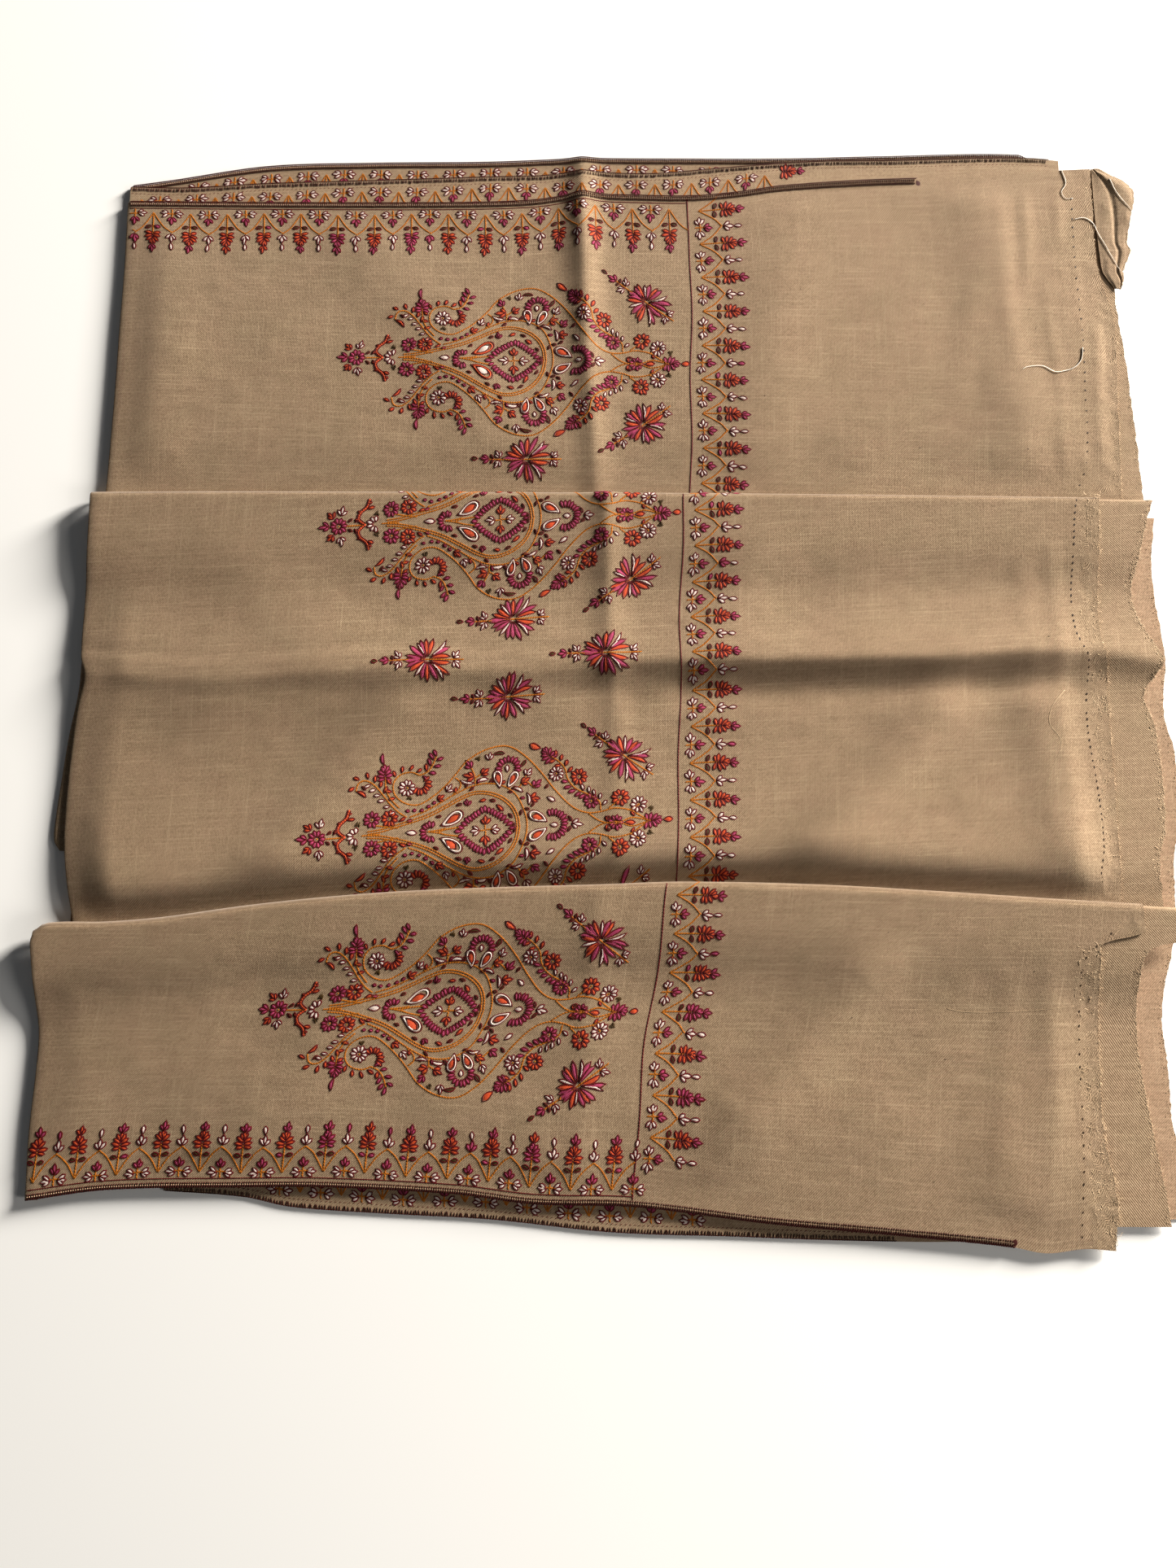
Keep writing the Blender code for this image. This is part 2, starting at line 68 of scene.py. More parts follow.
farHem = ((-401, 394), (-284, 393), (-129, 393), (-68, 395), (-24, 400.5), (6, 400), (64, 399),
          (101, 402), (142, 408), (209, 413), (287, 416), (345, 421), (402, 424))
secondFarHem = ((-401, 409), (-353, 408), (-285, 412), (-190, 415), (-102, 418), (-61, 419),
                (-24, 422), (34, 421), (102, 427), (170, 432), (238, 433), (347, 435), (410, 428))
thirdFarHem = ((-401, 410), (-367, 415), (-286, 428), (-198, 431), (-102, 432), (-24, 435),
               (34, 435), (143, 435), (225, 437), (340, 438.5), (356, 431), (405, 429.5))
middleFold = ((-414, 140.5), (-292, 141), (-34, 140), (122, 139), (290, 137), (440, 135))
ridgeLine = ((-413, 2), (-317, -5), (-191, 4), (-96, 2), (-8, 2), (125, 4), (251, 6), (374, 11), (436, 2))
nearFold = ((-438, -206), (-427, -200), (-382, -199), (-339, -195.5), (-278, -187), (-217, -180.5),
            (-156, -176), (-82, -173), (-8, -171), (53, -169), (152, -171), (244, -176),
            (336, -182), (440, -188))
nearHem = ((-435, -403), (-374, -395), (-272, -393), (-212, -393), (-116, -398), (-59, -405),
           (15, -407), (115, -419), (206, -427), (288, -435), (316, -440), (345, -437), (367, -438.5))
secondNearHem = ((-333, -396.5), (-273, -401), (-238, -408), (-164, -413), (-90, -417), (-2, -426),
                 (87, -429), (177, -432), (260, -432.5), (330, -427), (414, -421))
# y, x of the left fold, x of the standing crease, x of the right raw end
farSides = ((426, -400, -24, 399), (394, -401, -24, 399), (335, -401, -22, 400), (285, -402, -21, 411),
            (214, -403, -16, 409), (120, -406, -11, 407))
middleSides = ((142, -414, -4, 386), (77, -415, -3, 383), (24, -416, -2, 381), (5, -415, -1, 385),
               (-8, -411, 0, 386), (-34, -416, 3, 386), (-79, -420, 3, 387), (-129, -421, 2, 387),
               (-154, -419, 2, 387), (-200, -411, 2, 387))
nearSides = ((-168, -427, -10, 400), (-199, -428, -12, 399), (-208, -436, -13, 398),
             (-215, -438, -13, 369), (-226, -437, -14, 366), (-258, -434, -18, 364),
             (-288, -431, -21, 363), (-354, -434, -24, 363), (-400, -434, -27, 370), (-441, -435, -29, 367))
# y, x of the raw ends of the plies below
farSecondEnd = ((429, 406), (400, 408), (340, 412), (300, 414), (250, 419), (202, 422), (110, 427))
middleSecondEnd = ((142, 437), (131, 428), (85, 415), (57, 409), (32, 416), (4, 430), (-8, 424),
                   (-22, 415), (-49, 422), (-91, 425), (-129, 424), (-154, 418), (-200, 421))
middleThirdEnd = ((122, 434), (79, 429), (57, 430), (5, 435), (-37, 431), (-69, 437.5), (-116, 437.5),
                  (-154, 431), (-190, 430))
nearSecondEnd = ((-168, 436), (-199, 437), (-212, 436), (-219, 405), (-246, 395), (-289, 393),
                 (-323, 396), (-365, 402), (-397, 407), (-425, 410))
nearThirdEnd = ((-202, 430), (-221, 425), (-265, 414), (-312, 416), (-342, 416), (-365, 419),
                (-395, 420), (-419, 418))
# share of the depth, height of the plies below, air under the cloth
farLift = ((0, 4.6, 0), (0.12, 4.6, 0.6), (0.45, 4.6, 2.0), (0.78, 4.6, 2.3), (0.9, 4.6, 0.7),
           (0.95, 4.6, 0), (1, 4.6, 0))
middleLift = ((0, 13.0, 0), (0.12, 11.6, 0), (0.17, 10.0, 0.3), (0.24, 6.4, 1.8), (0.33, 4.9, 2.9),
              (0.42, 4.7, 3.9), (0.54, 4.7, 2.6), (0.68, 4.7, 3.6), (0.8, 4.7, 6.4), (0.88, 4.7, 8.6),
              (0.915, 4.7, 7.0), (0.955, 4.7, 0.6), (1, 4.7, 0))
nearLift = ((0, 14.6, 0), (0.13, 12.9, 0), (0.2, 10.8, 0.3), (0.28, 6.8, 1.7), (0.36, 4.8, 2.4),
            (0.5, 4.6, 2.2), (0.72, 4.6, 2.3), (0.86, 4.6, 1.6), (0.95, 4.6, 0.6), (1, 4.6, 0))
ridgeHeight = ((-413, 3.5), (-250, 5.2), (-100, 5.0), (60, 6.4), (220, 7.6), (380, 6.6), (436, 5.0))
# x, y of one end, x, y of the other, height, half width
farFolds = ((150, 400, 120, 190, 1.6, 34), (300, 410, 330, 180, 1.8, 28), (-180, 330, -80, 190, 1.4, 36),
            (-370, 360, -360, 180, 1.2, 30))
middleFolds = ((80, 62, 340, 66, -0.6, 24), (60, -21, 360, -14, -2.3, 12), (-390, -20, 0, -20, -1.0, 12),
               (250, -40, 160, -140, 4.2, 26), (330, -30, 345, -130, 2.4, 24),
               (-170, -40, -250, -150, 3.0, 30), (120, 110, 90, 40, 1.6, 30),
               (-300, 100, -250, 30, 1.4, 32))
nearFolds = ((188, -246, 100, -340, 4.2, 27), (330, -280, 300, -400, 1.1, 30),
             (-200, -260, -280, -360, 1.8, 34), (-20, -300, -60, -390, 1.2, 30))
# y, x of the maroon running line, from which u is counted across the cloth
farSeam = ((430, 61), (397, 62), (348, 65), (145, 63), (100, 62))
middleSeam = ((150, 57), (139, 57), (37, 53), (-49, 52), (-123, 49), (-170, 49), (-210, 48))
nearSeam = ((-160, 42), (-170, 41), (-240, 32), (-300, 22), (-404, 14), (-445, 11))
wrinkle = {"soft": 0.42, "softSize": 46, "fine": 0.12, "fineSize": 15}
# the pressed ridge: half width of its far side, of its near side at the right and at the left, the x from
# which it turns gentle, and the small valley beyond it there
ridgeShape = {"far": 36.0, "steep": 13.0, "gentle": 38.0, "turnFrom": 30, "turnOver": 120,
              "valley": 0.6, "valleyAt": 11.0, "valleyWide": 6.0}
# y, x of the pulled thread that marks the raw end's margin
pulledThread = ((430, 378), (400, 382), (305, 382), (237, 384), (161, 379), (129, 367), (86, 363), (25, 362),
                (3, 370), (-38, 369), (-116, 374), (-145, 375), (-172, 372), (-197, 384), (-226, 354),
                (-243, 350), (-289, 349), (-347, 347), (-386, 346), (-440, 343))
# stretch, x at the far and at the near end, y from and to, height, half width of the narrow lengthwise pleats
pleats = (("far", 318, 330, 410, 230, 0.5, 8), ("far", 345, 338, 420, 300, 0.6, 5),
          ("far", 356, 366, 330, 140, 0.4, 5), ("far", 372, 370, 425, 345, 0.6, 4),
          ("far", 392, 396, 300, 150, 0.9, 6), ("far", 296, 275, 330, 200, 0.5, 11),
          ("near", 330, 322, -200, -420, 0.4, 9), ("near", 300, 282, -230, -400, 0.4, 10),
          ("middle", 318, 330, 110, -10, 0.4, 9), ("middle", 345, 350, 120, -110, 0.4, 7))


def curve(table, at, column=1):
    rows = np.array(table, float)
    if rows[0, 0] > rows[-1, 0]:
        rows = rows[::-1]
    x, y = rows[:, 0], rows[:, column]
    slope = np.empty(len(x))
    slope[1:-1] = (y[2:] - y[:-2]) / (x[2:] - x[:-2])
    slope[0] = (y[1] - y[0]) / (x[1] - x[0])
    slope[-1] = (y[-1] - y[-2]) / (x[-1] - x[-2])
    at = np.clip(np.asarray(at, float), x[0], x[-1])
    k = np.clip(np.searchsorted(x, at, side="right") - 1, 0, len(x) - 2)
    step = x[k + 1] - x[k]
    t = (at - x[k]) / step
    rise = (t - 2 * t * t + t ** 3) * slope[k] + (t ** 3 - t * t) * slope[k + 1]
    return y[k] + (y[k + 1] - y[k]) * (3 * t * t - 2 * t ** 3) + rise * step


def ramp(value):
    value = np.clip(value, 0, 1)
    return value * value * (3 - 2 * value)


def softNoise(x, y, size, seed):
    # smooth hills about -1 to 1 high, `size` mm apart, the same on each run
    lattice = np.random.default_rng(seed).uniform(-1, 1, (64, 64))
    gx, gy = np.asarray(x) / size + 31.7, np.asarray(y) / size + 17.3
    i, j = np.floor(gx).astype(int), np.floor(gy).astype(int)
    fx, fy = ramp(gx - i), ramp(gy - j)
    low = lattice[i % 64, j % 64] * (1 - fx) + lattice[(i + 1) % 64, j % 64] * fx
    high = lattice[i % 64, (j + 1) % 64] * (1 - fx) + lattice[(i + 1) % 64, (j + 1) % 64] * fx
    return low * (1 - fy) + high * fy


class Stretch:
    # one stretch of the top cloth; share 0 is its far edge, or the crest of its rolled fold

    def __init__(self, name, sides, far, near, lift, folds, crease, nearTuck, seam, vLines, roll=0,
                 ridge=None):
        self.sides, self.far, self.near, self.lift, self.folds = sides, far, near, lift, folds
        self.crease, self.nearTuck, self.seam, self.vLines = crease, nearTuck, seam, vLines
        self.roll, self.ridge, self.pleats = roll, ridge, [row[1:] for row in pleats if row[0] == name]

    def farY(self, x):
        return curve(self.far, x) - self.roll

    def nearY(self, x):
        return curve(self.near, x) - self.nearTuck

    def yAt(self, x, share):
        far, near = self.farY(x), self.nearY(x)
        if self.ridge is None:
            return far + (near - far) * share
        middle, part = curve(self.ridge, x), layers["ridgeShare"]
        return np.where(share <= part, far + (middle - far) * share / part,
                        middle + (near - middle) * (share - part) / (1 - part))

    def shareAt(self, x, y):
        far, near = self.farY(x), self.nearY(x)
        if self.ridge is None:
            return (far - y) / (far - near)
        middle, part = curve(self.ridge, x), layers["ridgeShare"]
        return np.where(y >= middle, part * (far - y) / (far - middle),
                        part + (1 - part) * (middle - y) / (middle - near))

    def height(self, x, y):
        share = np.clip(self.shareAt(x, y), 0, 1)
        left, crease, right = (curve(self.sides, y, column) for column in (1, 2, 3))
        settle = ramp(np.minimum(x - left, right - x) / layers["settleWidth"])
        settle = layers["settleLeast"] + (1 - layers["settleLeast"]) * settle
        calm = ramp(share / (0.25 if self.roll else 0.1)) * ramp((0.95 - share) / 0.1)
        folds = np.zeros_like(share)
        for x1, y1, x2, y2, high, wide in self.folds:
            length = math.hypot(x2 - x1, y2 - y1)
            along = ((x - x1) * (x2 - x1) + (y - y1) * (y2 - y1)) / length
            beyond = np.maximum(np.maximum(-along, along - length), 0)
            across = np.abs((x - x1) * (y2 - y1) - (y - y1) * (x2 - x1)) / length
            folds += high * np.exp(-((across / wide) ** 2) - (beyond / (1.4 * wide)) ** 2)
        fine = softNoise(x + 0.5 * y, 1.7 * y - 0.3 * x, wrinkle["fineSize"], 5)
        wrinkles = wrinkle["soft"] * softNoise(x, y, wrinkle["softSize"], 3) + wrinkle["fine"] * fine
        under = curve(self.lift, share, 1)
        z = under + (np.maximum(curve(self.lift, share, 2), 0) + (folds + wrinkles) * calm) * settle
        farHigh, nearHigh, wide = self.crease
        z += (farHigh + (nearHigh - farHigh) * share) * np.exp(-(np.abs(x - crease) / wide) ** 1.6)
        if self.ridge is not None:
            off = y - curve(self.ridge, x)
            near, leftward = np.abs(off), ramp((ridgeShape["turnFrom"] - x) / ridgeShape["turnOver"])
            steep = np.exp(-(near / ridgeShape["steep"]) ** 1.6)
            gentle = np.exp(-(near / ridgeShape["gentle"]) ** 1.4)
            gentle = (1 + 0.4 * (1 - np.exp(-(near / 6.0) ** 2))) * gentle
            z += curve(ridgeHeight, x) * np.where(off > 0, np.exp(-(near / ridgeShape["far"]) ** 1.3),
                                                  steep + (gentle - steep) * leftward)
            valley = np.exp(-((off - ridgeShape["valleyAt"]) / ridgeShape["valleyWide"]) ** 2)
            z -= ridgeShape["valley"] * leftward * valley
        z = z + 0.3 * np.exp(-((x - curve(pulledThread, y)) / 1.3) ** 2)
        for x1, x2, y1, y2, high, wide in self.pleats:
            at = x1 + (x2 - x1) * (y1 - y) / (y1 - y2) + 1.5 * np.sin(y / 23 + x1)
            ends = ramp((y1 - y) / 30) * ramp((y - y2) / 30)
            z = z + high * ends * calm * np.exp(-((x - at) / wide) ** 2)
        low = under + 0.1                                    # it never sinks into the plies below
        z = low + np.logaddexp(0, (z - low) / 0.3) * 0.3
        return z - layers["leftDrop"] * (1 - ramp((x - left) / 6.0))

    def heightAt(self, x, y):
        return float(self.height(np.array(x), np.array(y)))

    def onFold(self, x, y, below=0.0):
        # past the crest the cloth runs on round its roll
        crest = self.farY(x)
        over = np.maximum(y - crest, 0) if self.roll else np.zeros_like(y)
        turn = np.minimum(over / max(self.roll, 0.1), math.pi)
        radius = self.roll - below
        flat = self.height(x, np.minimum(y, crest) if self.roll else y)
        z = np.where(over > 0, flat - self.roll + radius * np.cos(turn), flat - below)
        return x, np.where(over > 0, crest + radius * np.sin(turn), y), z

    def yOfV(self, x, v):
        # v is counted from the far hem down the cloth, by two lines whose place is known
        (v1, y1), (v2, y2) = [(known, spot(x)) for known, spot in self.vLines]
        y = y1 + (y2 - y1) * (v - v1) / (v2 - v1)
        if self is not farStretch:
            y = np.where(v < v1, y1 - (v - v1), y)
        return y if self is nearStretch else np.where(v > v2, y2 - (v - v2), y)

    def vOfY(self, x, y):
        (v1, y1), (v2, y2) = [(known, spot(x)) for known, spot in self.vLines]
        v = v1 + (v2 - v1) * (y - y1) / (y2 - y1)
        if self is not farStretch:
            v = np.where(y > y1, v1 + (y1 - y), v)
        return v if self is nearStretch else np.where(y < y2, v2 + (y2 - y), v)

    def point(self, u, v):
        y = self.yOfV(u + 50.0, v)
        for _ in range(4):
            y = self.yOfV(u + curve(self.seam, y), v)
        return self.onFold(u + curve(self.seam, y), y)


farStretch = Stretch("far", farSides, farHem, middleFold, farLift, farFolds, (5.0, 1.6, 11),
                     layers["middleRoll"] + layers["foldTuck"], farSeam,
                     ((0, lambda x: curve(farHem, x)), (145, lambda x: 251.5 - 0.0246 * x)))
middleStretch = Stretch("middle", middleSides, middleFold, nearFold, middleLift, middleFolds, (3.0, 0.3, 12),
                        layers["nearRoll"] + layers["foldTuck"], middleSeam,
                        ((391, lambda x: 120.6 + 0.0421 * x), (637, lambda x: -124.4 + 0.0491 * x)),
                        layers["middleRoll"], ridgeLine)
nearStretch = Stretch("near", nearSides, nearFold, nearHem, nearLift, nearFolds, (1.0, 0.6, 14), 0, nearSeam,
                      ((883, lambda x: -265.8 - 0.0069 * x), (1018, lambda x: curve(nearHem, x))),
                      layers["nearRoll"])


def unit(vectors):
    return vectors / np.maximum(np.linalg.norm(vectors, axis=-1, keepdims=True), 1e-9)


patchStep = 1.5


class Patch:
    # a grid of places and upward directions over a piece of flat cloth, read by every stitch on it

    def __init__(self, place, *ranges):
        self.lows = [low for low, high in ranges]
        self.counts = [int((high - low) / patchStep) + 2 for low, high in ranges]
        steps = [low + patchStep * np.arange(n) for low, n in zip(self.lows, self.counts)]
        self.spots = np.stack(place(*np.meshgrid(*steps, indexing="ij")), axis=-1)
        self.ups = unit(np.cross(np.gradient(self.spots, axis=1), np.gradient(self.spots, axis=0)))

    def toSpace(self, u, v, lift):
        gu, gv = (np.clip((at - low) / patchStep, 0, n - 1.001)
                  for at, low, n in zip((u, v), self.lows, self.counts))
        i, j = gu.astype(int), gv.astype(int)
        fu, fv = (gu - i)[:, None], (gv - j)[:, None]

        def read(grid):
            return ((grid[i, j] * (1 - fu) + grid[i + 1, j] * fu) * (1 - fv)
                    + (grid[i, j + 1] * (1 - fu) + grid[i + 1, j + 1] * fu) * fv)
        return read(self.spots) + unit(read(self.ups)) * lift[:, None]


def linearColour(hexCode):
    channels = [int(hexCode[k:k + 2], 16) / 255 for k in (1, 3, 5)]
    return [c / 12.92 if c <= 0.04045 else ((c + 0.055) / 1.055) ** 2.4 for c in channels] + [1.0]


def addNode(tree, kind, inputs=None, **settings):
    # an input is a value, a socket, or a node whose first open output is meant
    node = tree.nodes.new("ShaderNode" + kind)
    for name, value in settings.items():
        setattr(node, name, value)
    for name, value in (inputs or {}).items():
        if isinstance(value, bpy.types.Node):
            value = next(socket for socket in value.outputs if socket.enabled)
        if isinstance(value, bpy.types.NodeSocket):
            tree.links.new(value, node.inputs[name])
        else:
            node.inputs[name].default_value = value
    return node


def newMaterial(name):
    material = bpy.data.materials.new(name)
    material.use_nodes = True
    material.node_tree.nodes.clear()
    return material, partial(addNode, material.node_tree)


# Wool twill: a soft matte face with slanting wales, thicker slub threads, specks, and a little fuzz that
# catches the light at grazing angles. The wales are 1.8 mm apart measured along the weft: the real threads
# are too fine to show, so they are drawn at this coarser spacing.
twillLook = {
    "lit": "#BDA282", "shade": "#745C43", "warm": "#AC866D", "cool": "#968463", "slubTint": "#CDB391",
    "speckTint": "#4A3828", "waleSpacing": 1.8, "threadSpacing": 0.9, "waleDepth": 0.25,
    "contrast": 0.62, "bump": 0.5, "roughness": 0.93, "sheen": 0.15,
}
# slubs are drawn out along the weft and, fewer, along the warp
slubStretch = {"weft": (0.018, 0.62, 1.0), "warp": (0.62, 0.012, 1.0)}
# place read, scale, detail, roughness; the mottle is where the cloth has aged
twillNoises = {"drift": ("flat", 0.11, 2.0, 0.6), "weft": ("weft", 1.0, 3.0, 0.5),
               "warp": ("warp", 1.0, 3.0, 0.5), "speck": ("flat", 0.34, 4.0, 0.75),
               "mottle": ("flat", 0.03, 5.0, 0.62), "grain": ("flat", 0.5, 3.0, 0.7),
               "patchy": ("flat", 0.09, 3.0, 0.6)}
# noise, its lowest and highest value that count, and what they give
twillParts = {"weftSlub": ("weft", 0.54, 0.82, 0.0, 0.38), "warpSlub": ("warp", 0.55, 0.84, 0.0, 0.34),
              "darkStreak": ("weft", 0.2, 0.46, 0.42, 0.0), "speck": ("speck", 0.70, 0.78, 0.0, 0.55),
              "tone": ("mottle", 0.3, 0.7, 0.1, 0.9), "rough": ("grain", 0.3, 0.7, 0.5, -0.08),
              "worn": ("patchy", 0.35, 0.68, 0.12, -0.04)}


def twillWool(name, slant, look, darker=0.0):
    material, add = newMaterial(name)
    places = {"flat": add("UVMap", uv_map="flat")}         # mm on the flat cloth
    u, v, _ = add("SeparateXYZ", {0: places["flat"]}).outputs
    for way, drawn in slubStretch.items():
        places[way] = add("VectorMath", {0: places["flat"], 1: drawn}, operation="MULTIPLY")
    noises = {kind: add("TexNoise", {"Vector": places[place], "Scale": scale, "Detail": fine,
                                     "Roughness": rough})
              for kind, (place, scale, fine, rough) in twillNoises.items()}
    parts = {kind: add("MapRange", {0: noises[noise], 1: low, 2: high, 3: least, 4: most})
             for kind, (noise, low, high, least, most) in twillParts.items()}
    wander = add("Math", {0: noises["drift"], 1: 2.4}, operation="MULTIPLY")
    turned = add("Math", {0: v, 1: slant, 2: u}, operation="MULTIPLY_ADD")
    beats = []
    for place, spacing in ((turned, look["waleSpacing"]), (u, look["threadSpacing"])):
        phase = add("Math", {0: place, 1: 2 * math.pi / spacing, 2: wander}, operation="MULTIPLY_ADD")
        beats.append(add("Math", {0: phase}, operation="SINE"))
    weave = add("Math", {0: beats[1], 1: 0.16, 2: beats[0]}, operation="MULTIPLY_ADD")
    streaks = add("Math", {0: parts["weftSlub"], 1: parts["warpSlub"]}, operation="ADD")
    depth = add("MapRange", {0: weave, 1: -1.2, 2: 1.2, 3: look["contrast"], 4: 0.0})
    soft = add("Math", {0: parts["rough"], 1: parts["worn"]}, operation="ADD")
    paintedWaleShadeAndTone = add("Math", {0: depth, 1: soft}, operation="ADD")
    # the wale grooves are darkened toward the shade colour, which is painted shade; the grain and worn
    # patches add random tone to the same mix
    colour = linearColour(look["warm"])
    for factor, tint in (
            (parts["tone"], "cool"), (0.62, "lit"), (paintedWaleShadeAndTone, "shade"), (streaks, "slubTint"),
            (parts["darkStreak"], "shade"), (parts["speck"], "speckTint"), (darker, "speckTint")):
        colour = add("Mix", {"Factor": factor, "A": colour, "B": linearColour(look[tint])}, data_type="RGBA")
    relief = add("Math", {0: streaks, 1: 0.8, 2: weave}, operation="MULTIPLY_ADD")
    fuzzed = add("Math", {0: noises["grain"], 1: 1.2, 2: relief}, operation="MULTIPLY_ADD")
    bump = add("Bump", {"Strength": look["bump"], "Distance": look["waleDepth"] * mm, "Height": fuzzed})
    shader = add("BsdfPrincipled", {
        "Base Color": colour, "Roughness": look["roughness"], "Specular IOR Level": 0.25,
        "Sheen Weight": look["sheen"], "Sheen Roughness": 0.45, "Normal": bump})
    add("OutputMaterial", {"Surface": shader})
    return material


# Embroidery floss: twisted wool and silk laid side by side, so a faint gloss along the stitches
# the hole colour is painted shade for the pulled-thread holes, and the real colour of the dark fibre flecks
flossColours = {
    "ochre": "#B0630F", "orange": "#D2502A", "magenta": "#B24064", "white": "#EDD7CB", "maroon": "#5C0B0E",
    "darkBrown": "#46300F", "hemBrown": "#451008", "hemLight": "#D0A98A", "fray": "#D4B894",
    "thread": "#F1E8DA", "hole": "#35220F",
}
flossNames = list(flossColours)
flossLook = {"strand": 0.42, "strandDepth": 0.15, "roughness": 0.68, "specular": 0.18, "sheen": 0.02,
             "bump": 0.45}


def satinFloss(name, look):
    material, add = newMaterial("floss" + name[0].upper() + name[1:])
    run = add("UVMap", uv_map="flat")
    across = add("SeparateXYZ", {0: run})
    beat = add("Math", {0: across, 1: 2 * math.pi / look["strand"]}, operation="MULTIPLY")
    strand = add("Math", {0: beat}, operation="SINE")
    # each stitch has its own place on the map, so a broad noise gives each its own shade of dye
    dye = add("TexNoise", {"Vector": run, "Scale": 0.09, "Detail": 2.0})
    tint = add("MapRange", {0: dye, 1: 0.3, 2: 0.7, 3: 0.66, 4: 1.22})
    # the grooves between the strands are darkened and their crests a little lightened: painted shade and
    # painted highlight of the strands' relief
    paintedGrooveShade = add("MapRange", {0: strand, 1: -1.0, 2: 1.0, 3: 0.8, 4: 1.06})
    shade = add("Math", {0: tint, 1: paintedGrooveShade}, operation="MULTIPLY")
    colour = add("VectorMath", {0: linearColour(flossColours[name])[:3], "Scale": shade}, operation="SCALE")
    bump = add("Bump", {"Strength": look["bump"], "Distance": look["strandDepth"] * mm, "Height": strand})
    shader = add("BsdfPrincipled", {
        "Base Color": colour, "Roughness": look["roughness"], "Specular IOR Level": look["specular"],
        "Sheen Weight": look["sheen"], "Sheen Roughness": 0.4, "Normal": bump})
    add("OutputMaterial", {"Surface": shader})
    return material


twillFace = twillWool("woolTwillFace", 1.0, twillLook)
twillBack = twillWool("woolTwillWrongSide", -1.0, {**twillLook, "contrast": 0.42, "bump": 0.3}, 0.06)
# twill darkened toward the speck colour: painted shade for the rims of the cut edges and the far sides of the
# rolls
twillPaintedShade = twillWool("woolTwillPaintedShade", 1.0, twillLook, 0.4)
twillEnd = twillWool("woolTwillLooseEnd", 1.0, {**twillLook, "contrast": 0.45, "bump": 0.3, "lit": "#CFAC8C",
                                                "warm": "#C29678", "cool": "#B4967A"})
flosses = [satinFloss(name, flossLook) for name in flossNames]
print("materials made")


def makeMesh(name, points, triangles, coords, materials, slots=None):
    # points in mm, coords in mm on the flat cloth or along the stitch
    mesh = bpy.data.meshes.new(name)
    points = np.asarray(points, np.float32) * mm
    triangles = np.asarray(triangles, np.int32)
    mesh.vertices.add(len(points))
    mesh.vertices.foreach_set("co", points.ravel())
    mesh.loops.add(triangles.size)
    mesh.loops.foreach_set("vertex_index", triangles.ravel())
    mesh.polygons.add(len(triangles))
    mesh.polygons.foreach_set("loop_start", np.arange(0, triangles.size, 3, dtype=np.int32))
    layer = mesh.uv_layers.new(name="flat")
    layer.data.foreach_set("uv", np.asarray(coords, np.float32)[triangles.ravel()].ravel())
    for material in materials:
        mesh.materials.append(material)
    if slots is not None:
        mesh.polygons.foreach_set("material_index", np.asarray(slots, np.int32))
    mesh.update(calc_edges=True)
    mesh.validate()
    mesh.shade_smooth()
    obj = bpy.data.objects.new(name, mesh)
    bpy.context.scene.collection.objects.link(obj)
    return obj


def clothPiece(name, grids, replaced, flatSize, held, restsOn, material, slotName, under=None, rolled=0,
               wall=layers["shownWall"]):
    # a fine sheet through a grid of places, thickened downwards, that stands for its solid
    x, y, z, u, v = grids
    rows, columns = x.shape
    index = np.arange(rows * columns).reshape(rows, columns)
    a, b, c, d = index[:-1, :-1], index[1:, :-1], index[1:, 1:], index[:-1, 1:]
    triangles = np.concatenate([np.stack(corners, -1).reshape(-1, 3) for corners in ((a, b, c), (a, c, d))])
    points = np.stack([x, y, z], -1).reshape(-1, 3)
    coords = np.stack([u, v], -1).reshape(-1, 2)
    first = points[triangles[len(triangles) // 3]]
    if np.cross(first[1] - first[0], first[2] - first[0])[2] < 0:
        triangles = triangles[:, ::-1]
    # the far side of a roll takes the twill darkened with painted shade, like the rims of the cut edges
    slots, under = np.where((triangles // columns).max(axis=1) < rolled, 2, 0), under or material
    piece = makeMesh(name, points, triangles, coords, [material, under, twillPaintedShade, under], slots)
    # the cut edges stay crisp
    ends = np.empty(2 * len(piece.data.edges), np.int32)
    piece.data.edges.foreach_get("vertices", ends)
    down, over = ends.reshape(-1, 2) // columns, ends.reshape(-1, 2) % columns
    border = np.any([(line == at).all(1) for line, last in ((down, rows - 1), (over, columns - 1))
                     for at in (0, last)], 0)
    piece.data.attributes.new("sharp_edge", "BOOLEAN", "EDGE").data.foreach_set("value", border)
    solidify = piece.modifiers.new("wall", "SOLIDIFY")
    solidify.thickness, solidify.offset = wall * mm, -1
    # the rims take slot 2, the twill darkened with painted shade
    solidify.material_offset, solidify.material_offset_rim = 1, 2
    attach(piece, "root")
    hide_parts(replaced)
    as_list(restsOn)


def downStretch(stretch, columns, rows, rollRows, edges, last=1.0):
    # places down a stretch and round its roll: share across, x, y, the same y short of the roll, u, v
    shares = np.linspace(0, last, rows)
    if stretch.roll:
        shares = np.concatenate([-np.linspace(1, 0, rollRows, endpoint=False), shares])
    share, s = np.meshgrid(shares, np.linspace(0, 1, columns), indexing="ij")
    crest = np.full_like(s, float(curve(stretch.far, 0)))
    for _ in range(5):
        start, stop = edges(crest)
        x = start + s * (stop - start)
        crest = stretch.yAt(x, np.maximum(share, 0))
    y = crest + np.where(share < 0, -share * math.pi * stretch.roll, 0)
    return s, x, y, crest, x - curve(stretch.seam, crest), stretch.vOfY(x, crest) - (y - crest)


